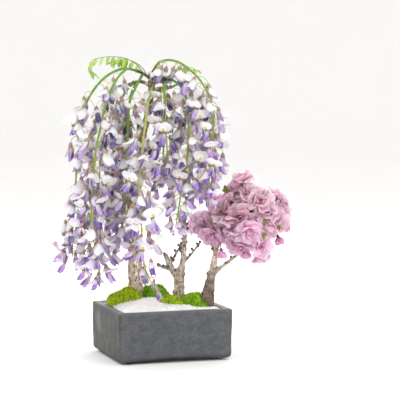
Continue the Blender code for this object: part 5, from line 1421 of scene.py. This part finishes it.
def build_sprigs(limbs):
    """The cherry's small bronze leaves, three on each stalk."""
    for number, (name, foot, facing, length) in enumerate([*CHERRY_LEAVES, *MORE_LEAVES]):
        draw = random.Random(SPRIG_SEED + number)
        bulk = Bulk()
        spot = nearest(*limbs, world(*foot))
        along = world(*facing).normalized()
        lead = spot + along * 7.0 if number < len(CHERRY_LEAVES) else world(*foot)
        line = smooth_path([spot, spot.lerp(lead, 0.5), lead], 1.5)
        bulk.add(*tube(line, np.linspace(0.7, 0.4, len(line)), 6), TWIG)
        face = along.orthogonal().normalized()
        for turn, share in ((0.0, 1.0), (0.9, 0.7), (-0.8, 0.6)):
            way = Matrix.Rotation(turn, 3, face) @ along
            tone = blend(BRONZE_LIGHT, BRONZE_DARK, draw.random())
            leaflet(bulk, lead, way, face, length * share, 0.29 * length * share, tone, draw, 0.3)
        nodes = [name] if number < len(CHERRY_LEAVES) else []
        piece(name.replace("leaf", "sprig"), bulk.mesh(name + "_fine", [LEAF]), "young_leaf", *nodes)


# ---------------------------------------------------------------- bark, twigs and the crown
# Healed knots on each trunk: height, turn, size.
WISTERIA_KNOTS = (
    (104, 0.4, 3.6), (146, 2.6, 3.0), (176, 5.2, 2.6), (214, 3.6, 3.2), (246, 1.2, 2.6), (296, 4.4, 2.4),
)
STUB_KNOTS = (
    (80, 3.5, 4.8), (86, 5.9, 4.4), (92, 4.5, 3.4), (104, 5.6, 3.2), (112, 2.9, 2.4), (134, 0.4, 1.6),
)
TREE_KNOTS = ((80, 3.5, 5.0), (86, 5.4, 4.6), (106, 3.4, 5.2), (112, 5.6, 3.6), (121, 1.0, 2.2))
CROWN_STUBS = ((-14, 6, 358), (-8, 14, 366), (-18, 16, 352), (-6, 8, 346), (-15, 17, 366))
CROWN_ACROSS, CROWN_BACK = -12, 12
CHERRY_SKIN = {"finish": CHERRY_BARK, "voxel": 0.62, "steep": 4.5, "marks": (5.0, 3.0), "bud": BUD_TINT}


def knots_on(trunk, spots):
    """Healed knots that swell out of a trunk: each is (height, turn, size)."""
    rows = smooth_path(trunk, 2.0)
    made = []
    for up, turn, size in spots:
        row = rows[np.abs(rows[:, 2] - up).argmin()]
        centre = np.array(world(*row[:3]))
        out = outward(turn, 0.25)
        line = [centre, centre + out * row[3] * 0.7, centre + out * (row[3] + size * 0.35)]
        made.append((line, [size, size * 1.1, size * 0.5]))
    return made


def build_wood():
    crown = []
    for across, back, up in CROWN_STUBS:
        start = np.array(world(CROWN_ACROSS, CROWN_BACK, up - 4))
        end = (across + (across - CROWN_ACROSS) * 0.5, back + (back - CROWN_BACK) * 0.5, up + 3)
        line = [start + (np.array(world(*end)) - start) * t for t in (0, 0.4, 0.6, 0.75, 0.9, 1.0)]
        crown.append((line, [2.2, 2.4, 1.8, 2.2, 1.6, 0.4]))
    for number, points in enumerate(WISTERIA_BRANCHES):
        crown += spurs(points, 3, 30 + number, (2.0, 3.4))
    crown += knots_on(WISTERIA_TRUNK, WISTERIA_KNOTS)
    mesh = wood_mesh(
        "trunk", [WISTERIA_TRUNK, *WISTERIA_BRANCHES], crown, WISTERIA_BARK, WISTERIA_TINTS,
        voxel=0.95, depth=1.4, seed=3, steep=11.0, marks=(2.6, 12.0),
    )
    piece("trunk", mesh, "wisteria_bark", "wisteria_wood")

    trunk, *twigs = CHERRY_LEFT
    extra = knots_on(trunk, STUB_KNOTS)
    for number, points in enumerate(twigs):
        extra += spurs(points, 8, 41 + number, (3.6, 6.0))
    extra += spurs(trunk[5:], 8, 46, (3.2, 5.4)) + spurs(trunk[6:], 8, 47, (2.6, 4.6))
    mesh = wood_mesh("cherry_stub", CHERRY_LEFT, extra, tints=STUB_TINTS, depth=0.9, seed=5, **CHERRY_SKIN)
    piece("cherry_stub", mesh, "cherry_bark", "cherry_left_wood")

    trunk, branch, twig = CHERRY_RIGHT
    extra = knots_on(trunk, TREE_KNOTS)
    extra += spurs(branch, 12, 60, (3.4, 5.6)) + spurs(twig, 5, 61) + spurs(trunk[6:], 5, 62)
    mesh = wood_mesh("cherry_tree", CHERRY_RIGHT, extra, tints=TREE_TINTS, depth=1.2, seed=8, **CHERRY_SKIN)
    piece("cherry_tree", mesh, "cherry_bark", "cherry_right_wood")


# ---------------------------------------------------------------- moss
class Cushion:
    """A moss cushion: a rounded mound with a lobed outline on the gravel."""

    def __init__(self, name, across, back, half_across, half_back, height, seed, light, dark):
        self.name, self.centre, self.seed = name, world(across, back, 0), seed
        self.half_across, self.half_back, self.height = half_across, half_back, height
        self.light, self.dark = light, dark

    def reach(self, angle):
        a = angle + self.seed
        lobes = 1 + 0.07 * math.sin(3 * a) + 0.05 * math.sin(5 * a + 1.3)
        return lobes / math.hypot(math.cos(angle) / self.half_across, math.sin(angle) / self.half_back)

    def covers(self, x, y, margin):
        dx, dy = x - self.centre.x, y - self.centre.y
        across = dx * math.cos(FACING) - dy * math.sin(FACING)
        back = dx * math.sin(FACING) + dy * math.cos(FACING)
        return math.hypot(across, back) < self.reach(math.atan2(back, across)) + margin

    def top(self, angle, share):
        """A place on the mound: angle in the viewer's sense, share 0 at its middle and 1 at its edge."""
        flat = world(math.cos(angle), math.sin(angle), 0) * self.reach(angle) * share
        limit_x, limit_y = POT_LENGTH / 2 - POT_WALL - 1, POT_DEPTH / 2 - POT_WALL - 1
        x = max(-limit_x, min(limit_x, self.centre.x + flat.x))
        y = max(-limit_y, min(limit_y, self.centre.y + flat.y))
        lump = noise.noise(Vector((x, y, self.seed)) / 6.5) * 4.0
        lump += noise.noise(Vector((x, y, -self.seed)) / 2.8) * 2.4
        lump += noise.noise(Vector((x, y, 3.0 * self.seed)) / 1.5) * 1.2
        dome = self.height * math.sqrt(max(0.0, 1 - share**2.4))
        return Vector((x, y, ground(x, y) + 0.3 + dome + lump * min(1.0, 2.2 * (1 - share) + 0.25)))


CUSHIONS = [
    Cushion("moss_front_left", -50, 5, 24, 18, 14.5, 1, rgb(232, 255, 36), rgb(176, 214, 18)),
    Cushion("moss_behind_wisteria", -9, 25, 19, 15, 16.0, 2, rgb(166, 232, 24), rgb(98, 178, 10)),
    Cushion("moss_front_middle", 14, -22, 14, 9, 8.0, 3, rgb(214, 244, 48), rgb(160, 196, 26)),
    Cushion("moss_between_cherries", 46, -13, 19.5, 14, 13.0, 4, rgb(184, 234, 30), rgb(118, 182, 14)),
]


def moss_finish():
    f = Finish("moss_fine", 0.85, (0.1, (0.5, 0.9, 0.2), 1.0))
    tone = f.tone()
    patch = f.step(f.noise(f.place(), 5.0, 4.0), 0.40, 0.68)
    colour = f.layer(patch, 0.35, tone, f.tint(tone, (0.66, 0.74, 0.45)))
    brown = f.step(f.noise(f.place(), 3.0, 2.0), 0.68, 0.76)
    f.colour(f.layer(brown, 0.25, colour, rgb(138, 118, 44)))
    f.normal(f.bump(f.noise(f.place(), 0.9, 4.0), 0.9, 0.6))
    return f.made


MOSS_SPOKES, MOSS_RINGS = 72, 18
MOSS_SPREAD, MOSS_TUFTS = 1.35, 1.15  # surface for each mm2 of the outline's ellipse, tufts for each mm2


def add_mound(bulk, cushion):
    """The closed body of a cushion, under its tufts."""
    points = []
    for r in range(1, MOSS_RINGS + 1):
        share = math.sin(math.pi / 2 * r / MOSS_RINGS)
        points += [cushion.top(2 * math.pi * k / MOSS_SPOKES, share) for k in range(MOSS_SPOKES)]
    apex = cushion.top(0.0, 0.0)
    low = [Vector((p.x, p.y, ground(p.x, p.y) - 1.0)) for p in (*points[-MOSS_SPOKES:], apex)]
    points = np.array([*points, *low[:-1], apex, low[-1]])
    index = closed(np.arange((MOSS_RINGS + 1) * MOSS_SPOKES).reshape(MOSS_RINGS + 1, MOSS_SPOKES))
    tris = caps(index, len(points) - 2, len(points) - 1, flip=True)
    bulk.add(points, grid_quads(index)[:, ::-1], tris, None, blend(cushion.dark, cushion.light, 0.4) * 0.8)


def tuft_lean(cushion, spot, angle, share, draw):
    """The way a tuft grows: out of the mound, outward at its edge, and a little at random."""
    beside, behind = cushion.top(angle + 0.06, share), cushion.top(angle, max(0.0, share - 0.06))
    lean = (beside - spot).cross(behind - spot)
    lean = lean if lean.z > 0 else -lean
    if share > 0.9:
        lean = lean.normalized() + world(math.cos(angle), math.sin(angle), 0) * 0.6
    stray = Vector((draw.uniform(-1, 1), draw.uniform(-1, 1), draw.uniform(-0.2, 0.8)))
    return (lean.normalized() + stray * 0.45).normalized()


def add_tuft(bulk, cushion, draw):
    """Four pointed leaves from one spot, with painted light where the mound swells and painted shade in its
    hollows.
    """
    angle, share = draw.uniform(0, 2 * math.pi), math.sqrt(draw.random())
    share = math.sin(math.pi / 2 * share) if draw.random() < 0.6 else share
    spot = cushion.top(angle, share)
    lean = tuft_lean(cushion, spot, angle, share, draw)
    tall = draw.uniform(1.0, 2.4) + (draw.uniform(0.6, 1.8) if draw.random() < 0.15 else 0.0)
    side = lean.orthogonal().normalized()
    other = lean.cross(side)
    # painted light and shade: tufts on the mound's swells are lighter, those in its hollows darker, down to a
    # deep painted shade; the rest of their tone differs at random
    painted_swell_light = noise.noise(spot / 1.7) + 0.6 * noise.noise(Vector((spot.x, spot.y, -cushion.seed)) / 2.8)
    light = 0.7 * float(smoothstep(-0.35, 0.35, painted_swell_light)) + 0.3 * draw.random()
    tone = blend(cushion.dark * 0.38, cushion.light * 1.08, light) * draw.uniform(0.85, 1.15)
    leaves, faces = [], []
    for leaf in range(4):
        turn = 1.57 * leaf + draw.uniform(-0.4, 0.4)
        out = side * math.cos(turn) + other * math.sin(turn)
        wide = lean.cross(out) * 0.26
        tip = spot + lean * tall + out * draw.uniform(0.5, 1.1)
        a, b, c, d = range(4 * leaf, 4 * leaf + 4)
        leaves += [spot + wide - lean * 0.3, spot - wide - lean * 0.3, spot - out * 0.3 + lean * 0.2, tip]
        faces += [(a, b, d), (b, c, d), (c, a, d), (a, c, b)]
    bulk.add(np.array(leaves), (), faces, None, tone)


def build_moss():
    finish = moss_finish()
    for cushion in CUSHIONS:
        draw = random.Random(MOSS_SEED + cushion.seed)
        bulk = Bulk()
        add_mound(bulk, cushion)
        area = cushion.half_across * cushion.half_back * 3.14 * MOSS_SPREAD
        for _ in range(int(area * MOSS_TUFTS)):
            add_tuft(bulk, cushion, draw)
        name = cushion.name.replace("moss", "cushion")
        piece(name, bulk.mesh(name, [finish]), "moss", cushion.name)


# ---------------------------------------------------------------- gravel
BED_MARGIN, BED_COLUMNS, BED_ROWS, BED_SINK = 0.9, 61, 57, 0.9
STONE_STEP, STONE_EDGE = 1.85, 1.2


def stone_finish():
    f = Finish("white_gravel_fine", 0.75)
    dust = f.step(f.noise(f.place(), 1.5, 4.0), 0.35, 0.7)
    f.colour(f.tint(f.mix(dust, (0.95, 0.95, 0.94), (0.99, 0.99, 0.985)), f.tone()))
    f.normal(f.bump(f.noise(f.place(), 0.5, 3.0), 0.4, 0.2))
    return f.made


def icosahedron():
    g = (1 + 5**0.5) / 2
    points = [
        (-1, g, 0), (1, g, 0), (-1, -g, 0), (1, -g, 0), (0, -1, g), (0, 1, g), (0, -1, -g), (0, 1, -g),
        (g, 0, -1), (g, 0, 1), (-g, 0, -1), (-g, 0, 1),
    ]
    faces = [
        (0, 11, 5), (0, 5, 1), (0, 1, 7), (0, 7, 10), (0, 10, 11), (1, 5, 9), (5, 11, 4), (11, 10, 2),
        (10, 7, 6), (7, 1, 8), (3, 9, 4), (3, 4, 2), (3, 2, 6), (3, 6, 8), (3, 8, 9), (4, 9, 5), (2, 4, 11),
        (6, 2, 10), (8, 6, 7), (9, 8, 1),
    ]
    return np.array(points) / math.hypot(1, g), np.array(faces)


def add_bed(bulk, half_x, half_y):
    """The closed body of the gravel, heaped to the middle and rounded at its corners, under the stones."""
    top = []
    for y in np.linspace(-half_y, half_y, BED_ROWS):
        for x in np.linspace(-half_x, half_x, BED_COLUMNS):
            pull = max(0.0, abs(x) - half_x + 3) * max(0.0, abs(y) - half_y + 3) / 9
            px, py = x - math.copysign(1.4, x) * pull, y - math.copysign(1.4, y) * pull
            bumpy = 0.35 * noise.noise(Vector((px, py, 3)) / 2.2)
            top.append((px, py, ground(px, py) - BED_SINK + bumpy))
    top = np.array(top)
    low = top.copy()
    low[:, 2] = SOIL_TOP + 0.3
    index = np.arange(len(top)).reshape(BED_ROWS, BED_COLUMNS)
    rim = np.concatenate([index[0, :], index[1:, -1], index[-1, -2::-1], index[-2::-1, 0]])
    sides = np.stack([rim[:-1], rim[:-1] + len(top), rim[1:] + len(top), rim[1:]], 1)
    faces = np.concatenate([grid_quads(index), grid_quads(index + len(top))[:, ::-1], sides])
    bulk.add(np.concatenate([top, low]), faces)


def build_gravel():
    draw = random.Random(GRAVEL_SEED)
    dice = np.random.default_rng(GRAVEL_SEED)
    bulk = Bulk()
    half_x, half_y = POT_LENGTH / 2 - POT_WALL - BED_MARGIN, POT_DEPTH / 2 - POT_WALL - BED_MARGIN
    add_bed(bulk, half_x, half_y)
    ball, faces = icosahedron()
    for x0 in np.arange(-half_x + STONE_EDGE, half_x - 1.0, STONE_STEP):
        for y0 in np.arange(-half_y + STONE_EDGE, half_y - 1.0, STONE_STEP):
            x, y = x0 + draw.uniform(-0.7, 0.7), y0 + draw.uniform(-0.7, 0.7)
            x = max(-half_x + 1.5, min(half_x - 1.5, x))
            y = max(-half_y + 1.5, min(half_y - 1.5, y))
            if any(c.covers(x, y, -3.0) for c in CUSHIONS):
                continue
            size = np.array((draw.uniform(0.8, 1.5), draw.uniform(0.7, 1.3), draw.uniform(0.6, 1.0)))
            stone = ball * size * dice.uniform(0.78, 1.15, (12, 1))
            turn = Matrix.Rotation(draw.uniform(0, 6.28), 4, "Z")
            turn = turn @ Matrix.Rotation(draw.uniform(-0.8, 0.8), 4, "X")
            lift = draw.uniform(-0.5, 0.5) + (draw.uniform(0.4, 1.2) if draw.random() < 0.25 else 0)
            stone = moved(stone, Matrix.Translation((x, y, ground(x, y) + lift)) @ turn)
            bulk.add(stone, (), faces, None, np.array((1, 1, 0.99)) * draw.uniform(0.93, 1.02))
    bed = bulk.mesh("gravel_bed", [stone_finish()], smooth=False)
    piece("gravel_bed", bed, "white_gravel", "gravel")


# ---------------------------------------------------------------- the pot
# Ragged patches on the clay: the middle, where they begin and are full in mm from it, strength, colour.
CLAY_PATCHES = (
    ((-65.0, -68.0, 47.0), 10.0, 4.0, 0.55, rgb(84, 76, 54)),
    ((-75.5, 36.0, 42.0), 22.0, 7.0, 0.5, rgb(124, 122, 112)),
)


def clay_finish():
    f = Finish("dark_clay_fine", 0.62)
    where = f.place()
    x, _, z = f.parts(where)
    cloud = f.noise(f.place((1, 1, 1.5)), 14.0, 6.0, 0.66, 0.6)
    fine = f.noise(f.place((0.7, 0.7, 1.2)), 1.3, 5.0, 0.75)
    grit = f.noise(where, 0.45, 2.0)
    base = f.mix(f.step(cloud, 0.30, 0.70), rgb(66, 68, 72), rgb(90, 92, 96))
    base = f.layer(f.step(fine, 0.44, 0.62), 0.8, base, rgb(56, 57, 61))
    # the left face is darkened with painted shade, and has a bloom of lime
    chalk = f.times(f.step(x, -60.0, -75.0), f.step(f.noise(where, 13.0, 4.0), 0.42, 0.66))
    side = f.step(x, -71.0, -74.5)
    base = f.layer(side, 0.8, base, rgb(54, 55, 55))
    base = f.layer(chalk, 0.5, base, rgb(98, 96, 86))
    rim = f.times(f.step(z, 61.5, 66.0), f.step(fine, 0.25, 0.6))
    base = f.layer(rim, 0.5, base, rgb(102, 104, 108))
    foot = f.step(z, 12.0, 3.0)
    base = f.layer(foot, 0.45, base, rgb(48, 48, 50))
    stains = f.step(f.noise(f.place((1, 1, 1.3)), 16.0, 2.0, 0.4), 0.70, 0.78)
    base = f.layer(stains, 0.5, base, rgb(72, 64, 48))
    ragged = f.times(f.noise(where, 4.0, 3.0), 6.0)
    for middle, outer, inner, share, colour in CLAY_PATCHES:
        off = f.node("VectorMath", {0: where, 1: middle}, operation="DISTANCE").outputs["Value"]
        base = f.layer(f.step(f.math("ADD", off, ragged), outer, inner), share, base, colour)
    drawn = f.noise(f.place((0.05, 0.05, 1.5)), 1.6, 3.0)
    scratch = f.times(f.step(drawn, 0.68, 0.74), f.step(f.noise(f.place((0.4, 0.4, 1)), 10.0), 0.5, 0.62))
    base = f.layer(scratch, 0.45, base, rgb(112, 113, 116))
    # painted shade: the few pits are darkened nearly to black
    pits = f.cells(where, 3.6)
    few = f.step(f.noise(where, 9.0, 1.0), 0.50, 0.60)
    hole = f.times(f.step(pits, 0.22, 0.12), few)
    base = f.layer(hole, 0.75, base, rgb(30, 29, 30))
    f.colour(base)
    f.rough(f.math("MULTIPLY_ADD", fine, 0.25, 0.48))
    height = f.math("SUBTRACT", f.math("MULTIPLY_ADD", drawn, 0.4, f.times(fine, 0.5)), f.times(hole, 2.0))
    f.normal(f.bump(f.math("MULTIPLY_ADD", grit, 0.25, height), 0.8, 0.5))
    return f.made


def ring_points(length, depth, corner, height, straight=36, bend=9):
    """A rounded rectangle: each corner's arc, and the straight side that follows it."""
    x, y = length / 2 - corner, depth / 2 - corner
    middles = ((x, y), (-x, y), (-x, -y), (x, -y), (x, y))
    ring = []
    for turn, ((cx, cy), (nx, ny)) in enumerate(zip(middles, middles[1:])):
        for k in range(bend):
            angle = math.pi / 2 * (turn + k / bend)
            ring.append((cx + corner * math.cos(angle), cy + corner * math.sin(angle)))
        angle = math.pi / 2 * (turn + 1)
        off_x, off_y = corner * math.cos(angle), corner * math.sin(angle)
        ax, ay, bx, by = cx + off_x, cy + off_y, nx + off_x, ny + off_y
        for k in range(straight):
            t = k / straight
            ring.append((ax + (bx - ax) * t, ay + (by - ay) * t))
    return [(x, y, height) for x, y in ring]


def pot_rings():
    """The pot's outline from the middle of its foot, up the outside, over the rim and down the inside, as
    rings of points, and how many of them are on the outside."""
    rings = []

    def ring(inset, height, corner=POT_CORNER):
        share = POT_TAPER + (1 - POT_TAPER) * height / POT_HEIGHT
        length, depth = POT_LENGTH * share - 2 * inset, POT_DEPTH * share - 2 * inset
        rings.append(ring_points(length, depth, corner, height))

    for height in (0.0, POT_FOOT_HEIGHT / 2, POT_FOOT_HEIGHT):
        ring(POT_FOOT_INSET, height)
    ring((POT_FOOT_INSET + POT_LOWER_EDGE) / 2, POT_FOOT_HEIGHT)
    for k in range(9):
        angle = math.pi / 2 * k / 8
        ring(POT_LOWER_EDGE * (1 - math.sin(angle)), POT_FOOT_HEIGHT + POT_LOWER_EDGE * (1 - math.cos(angle)))
    side_low, side_high = POT_FOOT_HEIGHT + POT_LOWER_EDGE, POT_HEIGHT - POT_RIM_ROUND
    for k in range(1, 21):
        ring(0.0, side_low + (side_high - side_low) * k / 20)
    for k in range(1, 7):
        angle = math.pi / 2 * k / 6
        ring(POT_RIM_ROUND * (1 - math.cos(angle)), side_high + POT_RIM_ROUND * math.sin(angle))
    outside = len(rings)
    for inset in (4.6, 6.6, POT_WALL - POT_RIM_ROUND):
        ring(inset, POT_HEIGHT, POT_CORNER - 1)
    for k in range(1, 5):
        angle = math.pi / 2 * k / 4
        inset = POT_WALL - POT_RIM_ROUND * (1 - math.sin(angle))
        ring(inset, side_high + POT_RIM_ROUND * math.cos(angle), POT_CORNER - 2)
    for height in (60.0, 56.0, 50.0, 35.0, 20.0, POT_FLOOR_TOP):
        ring(POT_WALL, height, POT_CORNER - 2)
    return rings, outside


BOX_FACES = ((0, 1, 3, 2), (4, 6, 7, 5), (0, 4, 5, 1), (2, 3, 7, 6), (0, 2, 6, 4), (1, 5, 7, 3))


def drain_cutters():
    """What is cut out of the pot: a drain hole and a channel out of the foot on each side."""
    half = CHANNEL_WIDTH / 2
    for side in (-1, 1):
        holes, channel = Bulk(), Bulk()
        holes.add(*tube([(side * DRAIN_X, 0, z) for z in (-4, 16)], (DRAIN_RADIUS, DRAIN_RADIUS), 32)[:3])
        yield placed("hole", holes.mesh("hole", []))
        ends = (side * DRAIN_X - half, side * DRAIN_X + half), (0, POT_DEPTH), (-3, CHANNEL_HEIGHT)
        corners = np.array([(x, y, z) for x in ends[0] for y in ends[1] for z in ends[2]], float)
        channel.add(corners, BOX_FACES)
        yield placed("channel", channel.mesh("channel", []))


def build_pot():
    rings, outside = pot_rings()
    points = np.array([p for r in rings for p in r])
    count = len(rings[0])
    index = closed(np.arange(len(points)).reshape(len(rings), count))
    shift = []  # how uneven the wall is
    for p in map(Vector, points):
        shift.append(noise.noise(p / 24) * 0.55 + noise.noise(p / 7 + Vector((5, 0, 0))) * 0.16)
    out = points[:, :2] / np.maximum(np.abs(points[:, :2]).max(axis=1, keepdims=True), 1)
    wall = smoothstep(4.5, 9.0, points[:, 2]) * (np.arange(len(points)) < outside * count)
    # the front and back lower edges arch up between the corners, clear of the foot
    span = np.clip(1 - (points[:, 0] / (POT_LENGTH * 0.43)) ** 2, 0, 1)
    foot_edge = POT_DEPTH / 2 - POT_FOOT_INSET
    past_foot = smoothstep(foot_edge, foot_edge + 4, np.abs(points[:, 1]))
    low = smoothstep(POT_FOOT_HEIGHT + 14, POT_FOOT_HEIGHT, points[:, 2])
    points[:, 2] += POT_ARCH * span * past_foot * low
    points[:, :2] += out * (np.array(shift) * wall)[:, None] - out * (0.35 * wall)[:, None]
    tris = caps(index, len(points), len(points) + 1)
    points = np.vstack([points, [(0, 0, 0), (0, 0, POT_FLOOR_TOP)]])
    bulk = Bulk()
    bulk.add(points, grid_quads(index)[:, ::-1], tris)
    pot = placed("pot_body", bulk.mesh("pot_body", [clay_finish()]))
    cutters = list(drain_cutters())
    for cutter in cutters:
        cut = pot.modifiers.new("cut", "BOOLEAN")
        cut.operation, cut.object, cut.solver = "DIFFERENCE", cutter, "EXACT"
    mesh = applied(pot)
    bpy.data.objects.remove(pot)
    for cutter in cutters:
        bpy.data.objects.remove(cutter)
    mesh.set_sharp_from_angle(angle=math.radians(50))
    piece("pot_body", mesh, "dark_clay", "pot")


def finish_hidden():
    """Soil and nets keep their CAD shapes and get fuller materials."""
    f = Finish("soil_fine", 0.95)
    crumb = f.cells(f.place(), 1.6)
    f.colour(f.mix(f.step(crumb, 0.1, 0.6), rgb(34, 24, 16), rgb(88, 66, 46)))
    f.normal(f.bump(crumb, 0.8, 0.8))
    net = Finish("black_net_fine", 0.5)
    weave = net.noise(net.place(), 0.8)
    net.colour(net.mix(weave, rgb(18, 18, 18), rgb(44, 44, 44)))
    net.normal(net.bump(weave, 0.3, 0.2))
    for name, finish in (("soil", f.made), ("drain_screen_left", net.made), ("drain_screen_right", net.made)):
        for slot in frame["nodes"][name].material_slots:
            slot.material = finish


# ---------------------------------------------------------------- studio
# The camera: where it stands in metres, the way it faces from above, its pitch, its lens and sensor in mm.
CAMERA_PLACE, CAMERA_AHEAD, CAMERA_PITCH = (-0.639, -2.106, 0.3605), (0.3123, 0.95), math.radians(-4.1)
CAMERA_LENS, CAMERA_SENSOR, CAMERA_NEAR, CAMERA_FAR = 153.0, 36.0, 0.05, 60.0
SKY_COLOUR, SKY_STRENGTH, STUDIO_PALE = (1.0, 0.99, 0.975, 1.0), 1.42, (0.86, 0.86, 0.86)
# Each lamp: name, place (across, back, up) and width in mm, watts, colour.
LAMPS = (
    ("key", (-900, -1500, 1500), 1200, 17.0, (1.0, 0.98, 0.95)),
    ("fill", (1300, -1300, 700), 1400, 10.0, (0.94, 0.97, 1.0)),
    ("screen", (200, 1700, 1000), 2000, 30.0, (1.0, 0.99, 0.97)),
)
LAMPS_AIM = Vector((0, 0, 0.2))
# The floor sweeps up into a wall all round: how far out it is flat, the sweep's radius, the wall's height.
FLOOR_FLAT, FLOOR_SWEEP, WALL_TOP, FLOOR_SPOKES = 6000.0, 2500.0, 9000.0, 64


def face_along(thing, way):
    thing.rotation_euler = way.to_track_quat("-Z", "Y").to_euler()


def build_studio():
    plain = Finish("studio_pale", 0.9)
    plain.colour(STUDIO_PALE)
    bulk = Bulk()
    profile = [(0.001, 0.0), (2000.0, 0.0), (FLOOR_FLAT, 0.0)]
    for a in np.linspace(0.15, math.pi / 2, 10):
        profile.append((FLOOR_FLAT + FLOOR_SWEEP * math.sin(a), FLOOR_SWEEP - FLOOR_SWEEP * math.cos(a)))
    profile.append((FLOOR_FLAT + FLOOR_SWEEP, WALL_TOP))
    turns = np.linspace(0, 2 * math.pi, FLOOR_SPOKES, endpoint=False)
    points = [(r * math.cos(t), r * math.sin(t), z) for r, z in profile for t in turns]
    index = np.arange(len(points)).reshape(len(profile), FLOOR_SPOKES)
    bulk.add(np.array(points), grid_quads(closed(index)))
    placed("studio_floor", bulk.mesh("studio_floor", [plain.made]))

    sky = bpy.data.worlds.new("studio_sky")
    sky.use_nodes = True
    sky.node_tree.nodes["Background"].inputs["Color"].default_value = SKY_COLOUR
    sky.node_tree.nodes["Background"].inputs["Strength"].default_value = SKY_STRENGTH
    bpy.context.scene.world = sky

    for name, spot, size, power, colour in LAMPS:
        light = bpy.data.lights.new(name, "AREA")
        light.size, light.energy, light.color = size * MM, power, colour
        lamp = placed(name, light)
        lamp.location = world(*spot) * MM
        face_along(lamp, LAMPS_AIM - lamp.location)

    camera = bpy.data.cameras.new("camera")
    camera.lens, camera.sensor_width = CAMERA_LENS, CAMERA_SENSOR
    camera.clip_start, camera.clip_end = CAMERA_NEAR, CAMERA_FAR
    seen = placed("camera", camera)
    seen.location = CAMERA_PLACE
    level = [reach * math.cos(CAMERA_PITCH) for reach in CAMERA_AHEAD]
    face_along(seen, Vector((*level, math.sin(CAMERA_PITCH))))
    bpy.context.scene.camera = seen
    bpy.context.scene.view_settings.view_transform = "Standard"


build_studio()
build_pot()
finish_hidden()
build_gravel()
build_moss()
build_wood()
build_racemes()
cherry_limbs = spine_of(CHERRY_RIGHT)
build_blooms(cherry_limbs)
build_buds(cherry_limbs)
build_fronds()
build_sprigs(cherry_limbs)
